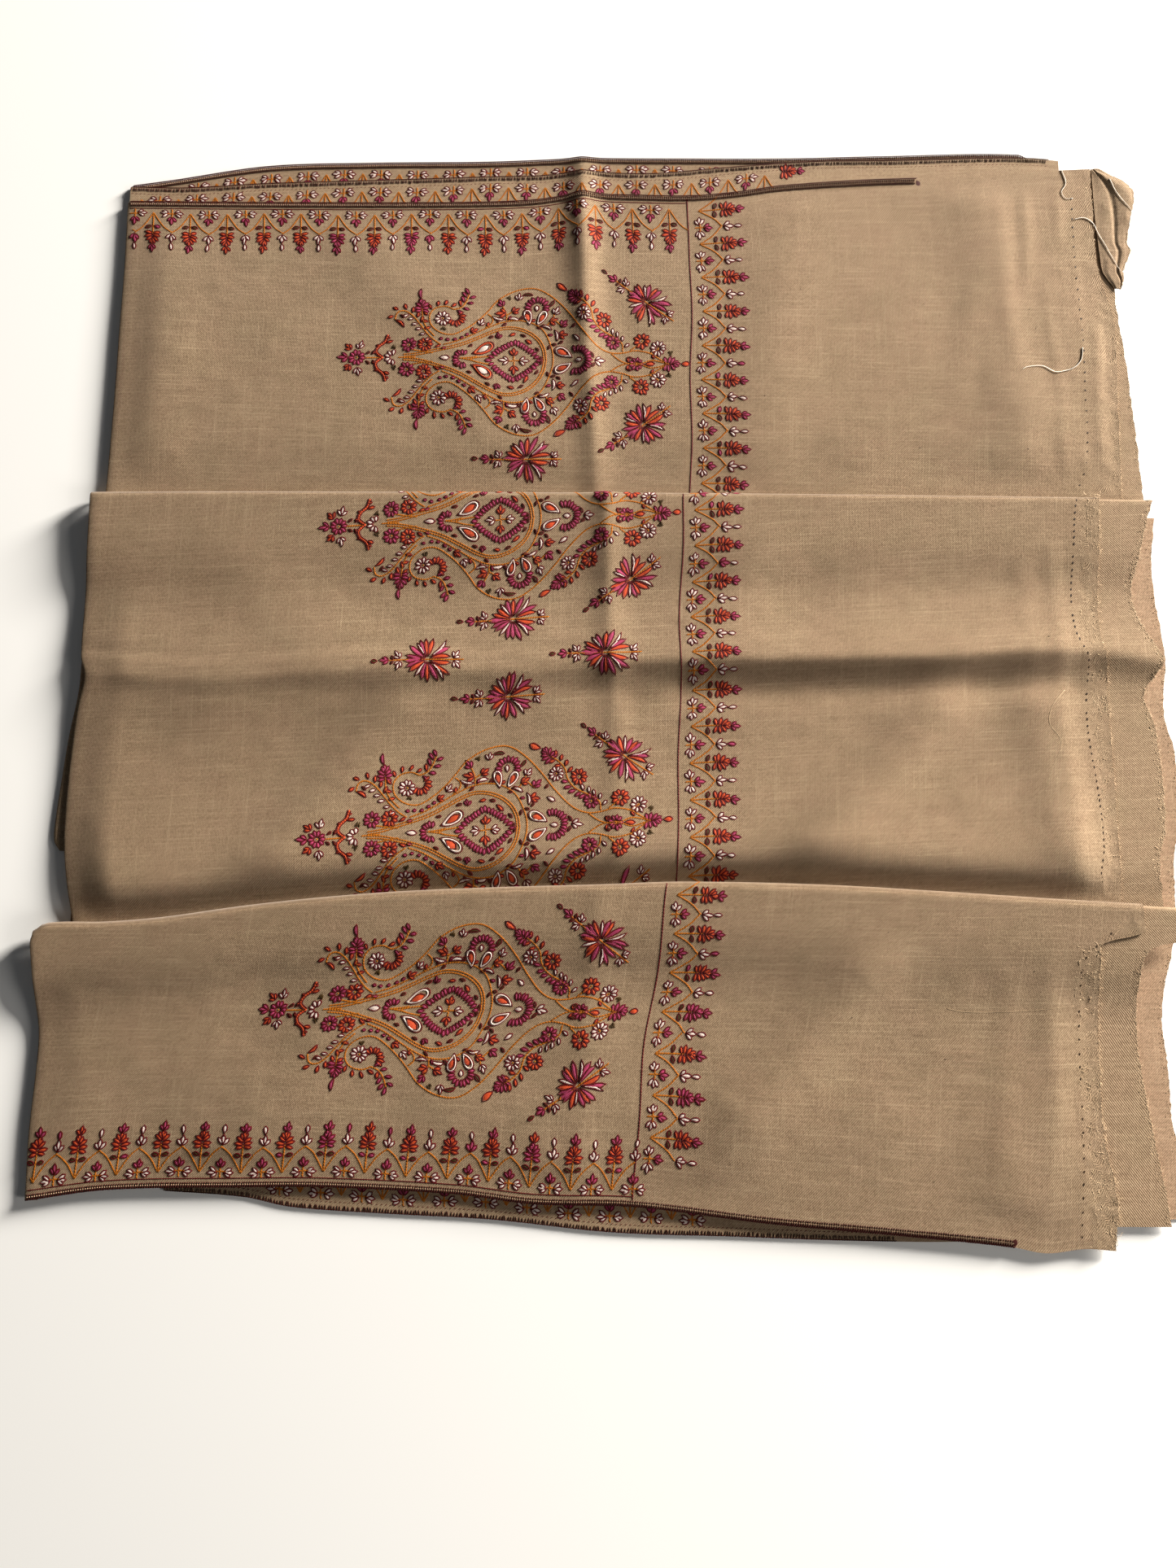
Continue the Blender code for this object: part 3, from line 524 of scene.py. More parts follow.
def stretchGrid(stretch, rows, rollRows):
    # fine grid over a stretch, with its roll at the far side and its fold turned under at the left
    s, x, y, crest, u, v = downStretch(stretch, 260, rows, rollRows,
                                       lambda y: (curve(stretch.sides, y, 1), curve(stretch.sides, y, 3)))
    ragged = 0.7 * softNoise(np.where(s == 1, crest, 0), x, 2.3, 11) * (s == 1)
    after, width = (8, 6) if stretch is farStretch else (0, 4)
    loosened = ramp((x - curve(pulledThread, crest) - after) / width)
    u = u + 1.5 * loosened * softNoise(x * 1.2, y, 6.5, 18)
    v = v + 1.5 * loosened * softNoise(x * 1.2, y, 6.5, 19)
    px, py, pz = stretch.onFold(x, y)
    px, pz = px + ragged, pz + 0.22 * loosened * softNoise(x * 1.3, y, 5.0, 20)
    # the left fold: the first columns bend down and run back below
    r, back = layers["foldRadius"], layers["foldReturn"]
    first = [grid[:, 0] for grid in (px, py, pz, u, v)]
    bends = [(r + d, -2 * r, -math.pi * r - d) for d in (back, 0.5 * back)]
    bends += [(r - r * np.sin(turn), -r + r * np.cos(turn), r - r * turn)
              for turn in np.linspace(math.pi, 0, 6)[:-1]]
    extra = [[first[0] + dx, first[1], first[2] + dz, first[3] + du, first[4]] for dx, dz, du in bends]
    px[:, 0] += r
    return [np.concatenate([np.stack([e[k] for e in extra], 1), grid], axis=1)
            for k, grid in enumerate((px, py, pz, u, v))]


for name, stretch, rows, rolled, node, flatSize, held in (
        ("farCloth", farStretch, 96, 0, "far_stretch", (812, 262), "laid"),
        ("middleCloth", middleStretch, 110, 9, "middle_stretch", (806, 345), "folded"),
        ("nearCloth", nearStretch, 84, 9, "near_stretch", (806, 248), "folded")):
    clothPiece(name, stretchGrid(stretch, rows, rolled), node, flatSize, held, ["hidden_layers"],
               twillFace, "twill_face", twillBack, rolled)
print("top cloth laid")

# The plies that show past the hems
hemShape = {"farEnds": (-400.0, 374.0), "nearEnds": (-333.0, 337.0), "creaseX": -24.0,
            "secondHigh": 2.7, "thirdHigh": 1.2, "secondCrease": 3.6, "thirdCrease": 2.7}


def stripPlace(outer, inward, high, crease):
    # a place on a lower ply: u along the hem, v in from its edge
    def place(u, v):
        y = curve(outer, u) + inward * v
        z = high + crease * np.exp(-(np.abs(u - hemShape["creaseX"]) / 11.0) ** 1.6)
        z = z + 0.25 * softNoise(u, y, 21, 8) * ramp(v / 3) * ramp((20 - v) / 8) * (high > 2)
        return u, y, z
    return place


def stripGrid(place, ends, hemAbove, outer):
    u = np.linspace(ends[0], ends[1], 240)
    depth = np.abs(curve(outer, u) - curve(hemAbove, u)) + layers["hemTuck"]
    along, s = np.meshgrid(u, np.linspace(0, 1, 14) ** 1.3, indexing="xy")
    v = s * depth[None, :]
    return (*place(along, v), along - 60, v)


faceUp, wrongUp, endUp = (twillFace, "twill_face"), (twillBack, "twill_wrong_side"), (twillEnd, "twill_face")
farEnds, nearEnds = hemShape["farEnds"], hemShape["nearEnds"]
farSecondPlace = stripPlace(secondFarHem, -1, hemShape["secondHigh"], hemShape["secondCrease"])
farThirdPlace = stripPlace(thirdFarHem, -1, hemShape["thirdHigh"], hemShape["thirdCrease"])
nearSecondPlace = stripPlace(secondNearHem, 1, hemShape["thirdHigh"], 0)
for name, grids, node, flatSize, restsOn, cloth in (
        ("farSecondPly", stripGrid(farSecondPlace, farEnds, farHem, secondFarHem), "far_second_ply_hem",
         (774, 45), ["far_third_ply_hem"], wrongUp),
        ("farThirdPly", stripGrid(farThirdPlace, farEnds, farHem, thirdFarHem), "far_third_ply_hem",
         (774, 57), ["floor"], faceUp),
        ("nearSecondPly", stripGrid(nearSecondPlace, nearEnds, nearHem, secondNearHem),
         "near_second_ply_hem", (670, 38), ["floor"], wrongUp)):
    clothPiece(name, grids, node, flatSize, "laid", restsOn, *cloth)


def endGrid(stretch, ends, rows, rollRows, last):
    # the second ply's raw end, nested a step under the top cloth
    s, x, y, _, u, v = downStretch(stretch, 16, rows, rollRows, lambda y: (
        curve(stretch.sides, y, 3) - layers["endTuck"], curve(ends, y)), last)
    px, py, pz = stretch.onFold(x, y, layers["plyStep"])
    px = px + 0.8 * softNoise(y, x, 2.6, 12) * (s == 1)
    return px, py, np.maximum(pz, 2.7), u, v


def floorGrid(ends, sides, yFar, yNear):
    y, s = np.meshgrid(np.linspace(yFar, yNear, 90), np.linspace(0, 1, 12), indexing="ij")
    start = curve(sides, y, 3) - layers["endTuck"]
    x = start + (curve(ends, y) - start) * s + 0.8 * softNoise(y, s, 2.6, 13) * (s == 1)
    return x, y, 1.2 + 0.25 * softNoise(x, y, 18, 14), x, -y


for name, grids, node, flatSize, held, restsOn, cloth in (
        ("farSecondEnd", endGrid(farStretch, farSecondEnd, 90, 0, 1.0), "far_second_ply_end", (38, 285),
         "laid", ["hidden_layers"], wrongUp),
        ("middleSecondEnd", endGrid(middleStretch, middleSecondEnd, 100, 8, 1.0), "middle_second_ply_end",
         (60, 345), "folded", ["middle_third_ply_end"], wrongUp),
        ("nearSecondEnd", endGrid(nearStretch, nearSecondEnd, 80, 8, 0.933), "near_second_ply_end", (56, 236),
         "folded", ["near_third_ply_end"], wrongUp),
        ("middleThirdEnd", floorGrid(middleThirdEnd, middleSides, 122, -190), "middle_third_ply_end",
         (72, 312), "laid", ["floor"], endUp),
        ("nearThirdEnd", floorGrid(nearThirdEnd, nearSides, -202, -417), "near_third_ply_end", (77, 215),
         "laid", ["floor"], endUp)):
    clothPiece(name, grids, node, flatSize, held, restsOn, *cloth)

# The far corner of the third ply, turned up over the raw end: share down the flap, y, x of its inner edge,
# x of its outer edge, where its crease and its lit rise run across it
flapRows = ((0, 424, 400, 407, 0.2, 0.1), (0.06, 419, 400.3, 415, 0.3, 0.42),
            (0.14, 412, 400.4, 427, 0.36, 0.6), (0.25, 402, 400.5, 434, 0.42, 0.76),
            (0.45, 380, 400.8, 430, 0.54, 0.95), (0.62, 358, 402, 425.5, 0.6, 1.3),
            (0.7, 350, 402.5, 428, 0.62, 1.3), (0.85, 333, 404, 421, 0.7, 1.3),
            (0.93, 325, 408, 421, 0.8, 1.3), (1, 317, 413.5, 418, 0.9, 1.3))


def flapHeight(down, across):
    creaseAt, riseAt = curve(flapRows, down, 4), curve(flapRows, down, 5)
    x = curve(flapRows, down, 2) + (curve(flapRows, down, 3) - curve(flapRows, down, 2)) * across
    z = 4.7 + 0.5 * ramp(across / 0.3) + 0.8 * np.exp(-((across - riseAt) / 0.22) ** 2) * ramp(down / 0.06)
    z = z - 0.8 * np.exp(-((across - creaseAt) / 0.06) ** 2) - 0.4 * ramp((across - 0.85) / 0.15)
    fine = 0.2 * softNoise(x, 100 * down, 8, 16) + 0.1 * softNoise(x, 100 * down, 4, 17)
    return z + fine * ramp(across / 0.2)


def flapTop(x, y):
    # height of the turned corner at a place
    down = np.interp(-y, [-row[1] for row in flapRows], [row[0] for row in flapRows])
    inner, outer = curve(flapRows, down, 2), curve(flapRows, down, 3)
    return flapHeight(down, np.clip((x - inner) / (outer - inner), 0, 1))


down, across = np.meshgrid(np.linspace(0, 1, 110), np.linspace(0, 1, 34), indexing="ij")
flapInner, flapOuter = curve(flapRows, down, 2), curve(flapRows, down, 3)
flapX = flapInner + (flapOuter - flapInner) * across
flapX = flapX + 0.7 * softNoise(down * 90, 0 * down, 2.4, 15) * (across > 0.95)
flapY = curve(flapRows, down, 1)
clothPiece("turnedCorner", (flapX, flapY, flapHeight(down, across), flapX, -flapY), "turned_corner",
           (24, 112), "folded", ["far_stretch"], *faceUp)

# The lengthwise fold of the lower plies, past the middle stretch's left edge: y, x of the outer edge
backRows = ((4, -417), (-14, -417.5), (-28, -419), (-53, -423), (-91, -427), (-125, -430), (-138, -429.5),
            (-145, -425))
backY, backS = np.meshgrid(np.linspace(4, -145, 70), np.linspace(0, 1, 10), indexing="ij")
backEdge, backInner = curve(backRows, backY), curve(middleSides, backY, 1) + 2.5
backX = backEdge + (backInner - backEdge) * backS
backZ = 2.2 + 0.9 * np.sqrt(np.clip(1 - (1 - np.minimum(backS * 4, 1)) ** 2, 0, 1)) - 0.5
clothPiece("leftBackFold", (backX, backY, backZ, backX, -backY), "left_back_fold", (12, 149), "folded",
           ["floor"], *wrongUp, wall=1.6)

# The inner layers show only at the sides, as the edges of folded plies one on another
innerLook = {"pitch": 1.5, "light": "#A98C69", "dark": "#6B523A", "roughness": 0.95, "depth": 0.4}
innerMaterial, add = newMaterial("woolTwillFoldedEdges")
spot = add("NewGeometry")
uneven = add("TexNoise", {"Vector": spot, "Scale": 28.0, "Detail": 3.0})
waver = add("Math", {0: uneven, 1: 5.0}, operation="MULTIPLY")
high = add("SeparateXYZ", {0: spot}).outputs[2]
plies = add("Math", {0: high, 1: 2 * math.pi / (innerLook["pitch"] * mm), 2: waver}, operation="MULTIPLY_ADD")
band = add("Math", {0: plies}, operation="SINE")
tone = add("MapRange", {0: band, 1: -1.0, 2: 1.0, 3: 0.0, 4: 1.0})
# the dark bands, where one ply's edge meets the next, are painted shade between the plies
colour = add("Mix", {"Factor": tone, "A": linearColour(innerLook["dark"]),
                     "B": linearColour(innerLook["light"])}, data_type="RGBA")
bump = add("Bump", {"Strength": 0.8, "Distance": innerLook["depth"] * mm, "Height": band})
shader = add("BsdfPrincipled", {"Base Color": colour, "Roughness": innerLook["roughness"],
                                "Specular IOR Level": 0.2, "Normal": bump})
add("OutputMaterial", {"Surface": shader})
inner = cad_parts["hidden_layers"]
inner.data.materials.clear()
inner.data.materials.append(innerMaterial)
print("lower plies laid")


class Gathered:
    # small triangles gathered into one mesh; the coords are their places on the material's map

    def __init__(self, name):
        self.name, self.count = name, 0
        self.points, self.triangles, self.coords, self.slots = [], [], [], []

    def gather(self, points, triangles, coords, slot):
        self.points.append(points)
        self.triangles.append(triangles + self.count)
        self.coords.append(coords)
        self.slots.append(np.full(len(triangles), slot))
        self.count += len(points)

    def close(self, points, materials, slotName):
        faces = (np.concatenate(part) for part in (self.triangles, self.coords))
        piece = makeMesh(self.name, points, *faces, materials, np.concatenate(self.slots))
        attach(piece, "root")
        print(f"{self.name}: {len(piece.data.polygons)} triangles")


def towards(degrees):
    return complex(math.cos(math.radians(degrees)), math.sin(math.radians(degrees)))


handWork = {"wander": 0.8, "jitter": 0.1, "petalHeight": 0.44, "outlineHeight": 0.4, "outlineWidth": 1.0,
            "lineWidth": 1.45, "linePitch": 2.1, "lineHeight": 0.4, "mapStep": 13.7}


class Needle(Gathered):
    # collects stitches on one patch of cloth. Places are complex numbers: real to the right, imaginary away
    # from the viewer, so u is the real part and v is minus the imaginary part

    def __init__(self, name, patch, shown, seed):
        super().__init__(name)
        self.patch, self.shown, self.chance = patch, shown, random.Random(seed)
        self.lifts, self.offset, self.wander = [], 0.0, handWork["wander"]
        self.at(0j)

    def at(self, origin, degrees=0.0, flip=False):
        self.origin, self.turn, self.flip = origin, towards(degrees), flip
        return self

    def toCloth(self, places):
        places = np.asarray(places, complex)
        places = (places.conj() if self.flip else places) * self.turn + self.origin
        # the hand wanders a little
        return places + self.wander * (np.sin(places.imag / 17 + 1.3) + 1j * np.sin(places.real / 19 + 0.4))

    def visible(self, place):
        spot = self.toCloth([place])[0]
        return self.shown(spot.real, -spot.imag)

    def add(self, places, lifts, triangles, colour, across, along):
        # each stitch keeps its own place on the map
        self.offset += handWork["mapStep"]
        self.lifts.append(lifts)
        self.gather(self.toCloth(places), triangles[:, ::-1] if self.flip else triangles,
                    np.stack([across, along + self.offset], 1), flossNames.index(colour))

    def finish(self, slotName="twill_face"):
        spots = np.concatenate(self.points)
        self.close(self.patch.toSpace(spots.real, -spots.imag, np.concatenate(self.lifts)), flosses, slotName)


def fullness(t):
    # half width of a stitched petal along its length: pointed at its base, fuller and blunt at its tip
    return np.sin(math.pi * np.clip(t, 0, 1) ** 1.3) ** 0.62


def lensParts(stations):
    # one padded stitch: along 0 to 1, across -1 to 1, height 0 to 1, and its triangles
    t = np.linspace(0, 1, stations)[1:-1]
    wide = fullness(t)
    along = np.concatenate([[0], np.repeat(t, 3), [1]])
    across = np.concatenate([[0], np.stack([-wide, 0 * wide, wide], 1).ravel(), [0]])
    height = np.concatenate([[0.1], np.stack([0 * wide, 0.55 + 0.45 * wide, 0 * wide], 1).ravel(), [0.1]])
    last = 3 * len(t) + 1
    faces = [(0, 2, 1), (0, 3, 2)]
    for p in (1 + 3 * k + side for k in range(len(t) - 1) for side in (0, 1)):
        faces += [(p, p + 1, p + 4), (p, p + 4, p + 3)]
    faces += [(last - 3, last - 2, last), (last - 2, last - 1, last)]
    return along, across, height, np.array(faces)


lenses = {n: lensParts(n) for n in (4, 5, 6)}


def lensOutline(stations):
    # the lens's edge as a closed loop, once round
    t = np.linspace(0, 1, stations)
    wide = fullness(t)
    wide[0] = wide[-1] = 0
    return np.concatenate([t, t[-2:0:-1]]), np.concatenate([wide, -wide[-2:0:-1]])


def cordRound(needle, loop, colour, width, height=handWork["outlineHeight"], closed=True):
    # a fine couched thread along a path
    count = len(loop)
    ahead = np.roll(loop, -1) - np.roll(loop, 1)
    if not closed:
        ahead[0], ahead[-1] = loop[1] - loop[0], loop[-1] - loop[-2]
    side = 1j * ahead / np.maximum(np.abs(ahead), 1e-9)
    places = np.stack([loop + side * width / 2, loop, loop - side * width / 2], 1).ravel()
    run = np.repeat(np.concatenate([[0], np.cumsum(np.abs(np.diff(loop)))]), 3)
    faces = []
    for k in range(count if closed else count - 1):
        a, b = 3 * k, 3 * ((k + 1) % count)
        for s in (0, 1):
            faces += [(b + s + 1, a + s + 1, a + s), (b + s, b + s + 1, a + s)]
    needle.add(places, np.tile([0.02, height, 0.02], count), np.array(faces), colour,
               np.tile([-0.3, 0, 0.3], count), run)


def petal(needle, base, degrees, length, width, colour, outline="maroon", bend=0.0, stations=5):
    if not needle.visible(base):
        return
    chance, jitter = needle.chance, handWork["jitter"]
    length *= 1 + chance.uniform(-jitter, jitter)
    width *= 1 + chance.uniform(-jitter, jitter)
    heading = towards(degrees + chance.uniform(-7, 7))
    along, across, height, faces = lenses[stations]
    border = handWork["outlineWidth"] if outline else 0
    fill = max(width - border * 0.75, width * 0.52)
    curved = bend * length * (along - along ** 2) * 4
    places = base + heading * ((along * 0.9 + 0.05) * length + 1j * (across * fill / 2 + curved))
    needle.add(places, height * handWork["petalHeight"], faces, colour, across * width / 2, along * length)
    if outline:
        along, across = lensOutline(stations)
        curved = bend * length * (along - along ** 2) * 4
        edge = fill / 2 + border * 0.44
        loop = base + heading * ((along * 1.08 - 0.04) * length + 1j * (across * edge + curved))
        cordRound(needle, loop[::-1], outline, border * chance.uniform(0.85, 1.15))


def evenly(fine, step):
    run = np.concatenate([[0], np.cumsum(np.abs(np.diff(fine)))])
    at = np.linspace(0, run[-1], max(int(round(run[-1] / step)), 1) + 1)
    return np.interp(at, run, np.real(fine)) + 1j * np.interp(at, run, np.imag(fine))


def smoothPath(points, step=1.0):
    # an even run of places through a few given ones
    given = np.array([complex(*p) for p in points])
    padded = np.concatenate([[2 * given[0] - given[1]], given, [2 * given[-1] - given[-2]]])
    t, fine = np.linspace(0, 1, 12, endpoint=False), []
    for p0, p1, p2, p3 in zip(padded, padded[1:], padded[2:], padded[3:]):
        fine.append(0.5 * (2 * p1 + (p2 - p0) * t + (2 * p0 - 5 * p1 + 4 * p2 - p3) * t ** 2
                           + (3 * p1 - p0 - 3 * p2 + p3) * t ** 3))
    return evenly(np.concatenate(fine + [[given[-1]]]), step)


def stemLine(needle, points, colour="ochre", width=handWork["lineWidth"], pitch=handWork["linePitch"],
             height=handWork["lineHeight"], slant=12.0):
    # stem stitch: short slanted stitches, each lying half over the one before
    path = evenly(points, pitch)
    along, across, lift, faces = lenses[4]
    for start, stop in zip(path, path[1:]):
        if needle.visible(start):
            length = abs(stop - start)
            heading, reach = (stop - start) / max(length, 1e-9) * towards(slant), length * 1.6
            places = start - heading * length * 0.3 + heading * (along * reach + 1j * across * width / 2)
            needle.add(places, lift * height, faces, colour, across * width / 2, along * reach)


def sidePaths(path, gap):
    ahead = np.gradient(path)
    side = 1j * ahead / np.maximum(np.abs(ahead), 1e-9)
    return path + side * gap / 2, path - side * gap / 2


def tulip(needle, base, degrees, size, colour):
    for spread, share in ((-38, 0.72), (38, 0.72), (0, 1.0)):
        petal(needle, base, degrees + spread, size * share, size * 0.34, colour)


def daisy(needle, centre, radius, colour, count=9, heart="ochre", opening=0.0, facing=0.0):
    for k in range(count):
        angle = facing + opening / 2 + (360 - opening) * ((k + 0.5) / count if opening else k / count)
        petal(needle, centre + towards(angle) * radius * 0.3, angle, radius * 0.74, radius * 0.44, colour)
    if heart:
        petal(needle, centre - 0.9, 0, 1.8, 1.5, heart, None)


def arcFan(needle, centre, outer, length, facing, sweep, count, colour="magenta"):
    # a fan of petals on an arc; facing is the open side
    for k in range(count):
        angle = facing + 180 + sweep * ((k + 0.5) / count - 0.5)
        petal(needle, centre + towards(angle) * (outer - length), angle, length, 2.5, colour)


def teardrop(needle, centre, degrees, length, width, border="white", fill="orange"):
    # a small cone: satin heart, white border curling over at its tip
    if not needle.visible(centre):
        return
    heading, turn = towards(degrees), np.linspace(0, 2 * math.pi, 17)[:-1]
    shape = -np.cos(turn) * length / 2 + 1j * np.sin(turn) * np.sin(turn / 2) ** 0.9 * width / 2
    shape = np.where(shape.real < -length * 0.2, shape + 1j * (shape.real + length * 0.2) ** 2 * 0.045, shape)
    cordRound(needle, (centre + heading * shape * 0.96)[::-1], border, 1.25, 0.5)
    cordRound(needle, (centre + heading * shape * 1.18)[::-1], "maroon", 0.95, 0.38)
    petal(needle, centre - heading * length * 0.3, degrees, length * 0.66, width * 0.56, fill)


def tuft(needle, base, degrees, size):
    # a small fern of dark stitches
    for aside, share in ((-1.5, 0.55), (-0.8, 0.8), (0, 1.0), (0.8, 0.8), (1.5, 0.55)):
        place = base + 1j * towards(degrees) * aside
        petal(needle, place, degrees, size * share, 1.3, "darkBrown", None, stations=4)


def leafRow(needle, path, side, colours, length, width, start=0.0, stop=1.0, off=1.2, lean=55):
    # leaves set along one side of a stem
    run = evenly(path, 0.5)
    ahead = np.gradient(run)
    for k, colour in enumerate(colours):
        i = int((start + (stop - start) * (k + 0.5) / len(colours)) * (len(run) - 1))
        heading = ahead[i] / abs(ahead[i])
        angle = math.degrees(math.atan2(heading.imag, heading.real)) + side * lean
        petal(needle, run[i] + side * 1j * heading * off, angle, length, width, colour)


def fanFlower(needle, base, degrees, size, colour):
    # petals spreading from a short stem into a heart-shaped head
    heading = towards(degrees)
    for start, spread, reach in ((0.0, 102, 0.5), (0.13, 78, 0.55), (0.28, 52, 0.54), (0.42, 27, 0.48)):
        for side in (-1, 1):
            way = degrees + side * spread
            petal(needle, base + heading * size * start, way, size * reach, size * 0.215, colour)
    petal(needle, base + heading * size * 0.5, degrees, size * 0.46, size * 0.22, colour)


# One large cone with its base at the maroon line. Lengths from the middle of its diamond, base to the right.
coneLines = {name: smoothPath(points) for name, points in {
    "body": ((126, 0), (119, 4), (110, 9.5), (98, 11.5), (88, 9), (77, 8.5), (66, 13.5), (54, 26), (42, 42),
             (29, 56), (15, 64.5), (-1, 63), (-15, 55), (-24, 44), (-32, 35), (-41.5, 27), (-51.5, 21.5),
             (-61.5, 23), (-69, 29.5), (-70.5, 38), (-66, 44.5), (-57.5, 46.5), (-51, 44)),
    "neckInner": ((126, 0), (112, 3.5), (100, -0.5), (88, 1.5), (79, 7.5)),
    "tail": ((-51, 44), (-45, 46.5), (-41, 52), (-38.5, 59)),
    "arm": ((-60, 12), (-66, 16), (-72, 22), (-78, 30), (-85, 38.5), (-92, 42.5), (-97.5, 40.5),
            (-99, 34.5)),
    "armStem": ((-77, 44), (-76.5, 35), (-73, 27), (-66, 19)),
    "heart": ((-90, 1.2), (-78, 2.5), (-66, 5.5), (-52, 9.5), (-41.5, 13.5), (-31, 19), (-19, 25.5),
              (-9, 29), (1, 28.5), (11, 24.5), (19, 17.5), (23.5, 9), (25, 0)),
    "ring": ((-58, 11.5), (-47, 15.5), (-36, 21.5), (-24, 28.5), (-12, 34), (0, 36), (12, 33.5), (22, 26.5),
             (28, 15.5), (31, 6), (31.5, 0)),
    "scroll": ((-25, 29), (-20, 33), (-19, 38), (-23, 42)),
    "feather": ((88, 10), (87, 17), (79, 22.5), (69, 27.5), (63, 35), (61, 43), (56, 49), (50, 53.5)),
    "sprigA": ((-8, 36.5), (-8, 42), (-11, 49)),
    "sprigB": ((-8, 41), (-3, 44)),
    "sprigC": ((25, 30), (30, 35), (37, 29.5)),
    "sprigD": ((30, 35), (31, 40)),
    "rootA": ((-66, 4), (-76, 5.5), (-84, 7)),
    "baseA": ((94, 11), (99, 15), (103, 18)),
    "baseB": ((110, 9), (114, 11), (117, 13)),
    "bracket": ((-103.5, 20.5), (-105.5, 14.5), (-110.5, 10), (-112, 5), (-109, 1.6), (-106.5, 0)),
}.items()}
# kind, x, y, size, direction, colour of the pieces on one side of the cone
coneSprigs = (
    ("tulip", -132, 7, 7, 138, "orange"), ("tulip", -126, 8.5, 7, 85, "white"),
    ("leaf", -120, 2.6, 4, 35, "darkBrown"), ("leaf", -115, 2.4, 3.8, 60, "darkBrown"),
    ("leaf", -105, 13, 5.5, 15, "orange"), ("tuft", -98, 6.5, 5.5, 75, ""),
    ("daisy", -86, 11, 6.2, 0, "magenta"), ("daisy", -73, 12, 6.2, 0, "orange"),
    ("leaf", -65, 8.5, 5, 25, "orange"), ("leaf", -60, 8.5, 4.5, 15, "magenta"),
    ("dot", -61.5, 17, 3, 0, "magenta"), ("dot", -56, 16.5, 3, 0, "magenta"),
    ("dot", -50.6, 17, 3, 10, "magenta"), ("dot", -45.5, 19, 3, 25, "magenta"),
    ("dot", -40.8, 21.8, 3, 35, "magenta"), ("tulip", -36, 25, 6.5, 38, "orange"),
    ("tulip", -29.5, 31, 6.5, 60, "white"), ("daisy", -60.5, 35, 6.2, 0, "white"),
    ("tuft", -59, 24.5, 5, 80, ""), ("leaf", -94, 38.5, 4, -50, "darkBrown"),
    ("long", -98, 34, 9, -42, "orange"), ("long", -77.5, 53, 9, 95, "magenta"),
    ("tuft", -7, 55, 5.5, 65, ""), ("tulip", 2, 55, 6.5, 88, "white"),
    ("long", 4.5, 58.5, 9, 5, "darkBrown"), ("leaf", 27, 47, 6.5, 60, "darkBrown"),
    ("tulip", -11, 49, 7, 125, "magenta"), ("tulip", -9, 42.5, 8, 168, "orange"),
    ("tulip", -3.5, 44, 7, 35, "orange"), ("long", -9, 37.6, 10, 172, "white"),
    ("long", -7, 37.6, 10, 6, "white"), ("leaf", -12, 31, 4, 35, "darkBrown"),
    ("leaf", 5, 37, 4, 70, "darkBrown"), ("tulip", 31, 40, 7, 62, "white"),
    ("tulip", 27, 34, 7, 20, "orange"), ("tulip", 37, 29.5, 7.5, 45, "magenta"),
    ("long", 20, 30.5, 9, -12, "white"), ("long", 31.5, 26, 9.5, -82, "white"),
    ("tulip", 35, 21.5, 7.5, 0, "orange"), ("leaf", 45.5, 28, 4, 50, "darkBrown"),
    ("leaf", 47, 22, 7, -38, "white"), ("leaf", 17, 29, 4, -10, "darkBrown"),
    ("leaf", 27, 9.5, 4, 75, "darkBrown"), ("leaf", 35, 14.5, 4, 40, "darkBrown"),
    ("leaf", 63, 6, 4.5, -60, "darkBrown"), ("tulip", -13, 20.5, 5.5, 100, "magenta"),
    ("leaf", -5, 23, 5.5, 12, "orange"), ("leaf", 4, 23.5, 4.5, -25, "darkBrown"),
    ("leaf", 9, 19, 6.5, -48, "orange"), ("leaf", 17.5, 11.5, 4.2, -60, "darkBrown"),
    ("leaf", 22, 4, 4, -85, "darkBrown"), ("leaf", -22, 20, 4.5, 30, "darkBrown"),
    ("leaf", -38, 11, 4.2, 20, "darkBrown"), ("leaf", -48, 5.5, 4.2, 10, "darkBrown"),
    ("daisy", 103.5, 19.5, 6.6, 0, "orange"), ("daisy", 117, 13.5, 6.2, 0, "white"),
    ("tuft", 124, 8, 6, 35, ""), ("daisy", 80, 17, 5.8, 0, "magenta"), ("daisy", 71.5, 36, 6.2, 0, "orange"),
    ("daisy", 54.5, 39, 5.6, 0, "white"), ("fan", 50, 52, 11, 135, "magenta"),
    ("bud", 41.5, 60, 9.5, 142, "orange"), ("leaf", 92, 4.5, 4, 10, "darkBrown"),
)
# width share and bend of the single stitches
sprigPetals = {"long": (0.27, 0.12), "dot": (0.72, 0.0), "leaf": (0.42, 0.0), "bud": (0.45, 0.06)}


def coneSprig(needle, kind, x, y, size, direction, colour):
    chance = needle.chance
    place = complex(x + chance.uniform(-0.6, 0.6), y + chance.uniform(-0.6, 0.6))
    direction += chance.uniform(-9, 9)
    if kind == "daisy":
        daisy(needle, place, size, colour, chance.choice((9, 10)), facing=chance.uniform(0, 40))
    elif kind == "tuft":
        tuft(needle, place, direction, size)
    elif kind in ("tulip", "fan"):
        (tulip if kind == "tulip" else fanFlower)(needle, place, direction, size, colour)
    else:
        wide, bend = sprigPetals[kind]
        petal(needle, place, direction, size, size * wide, colour, bend=bend, stations=6 if size > 8 else 5)


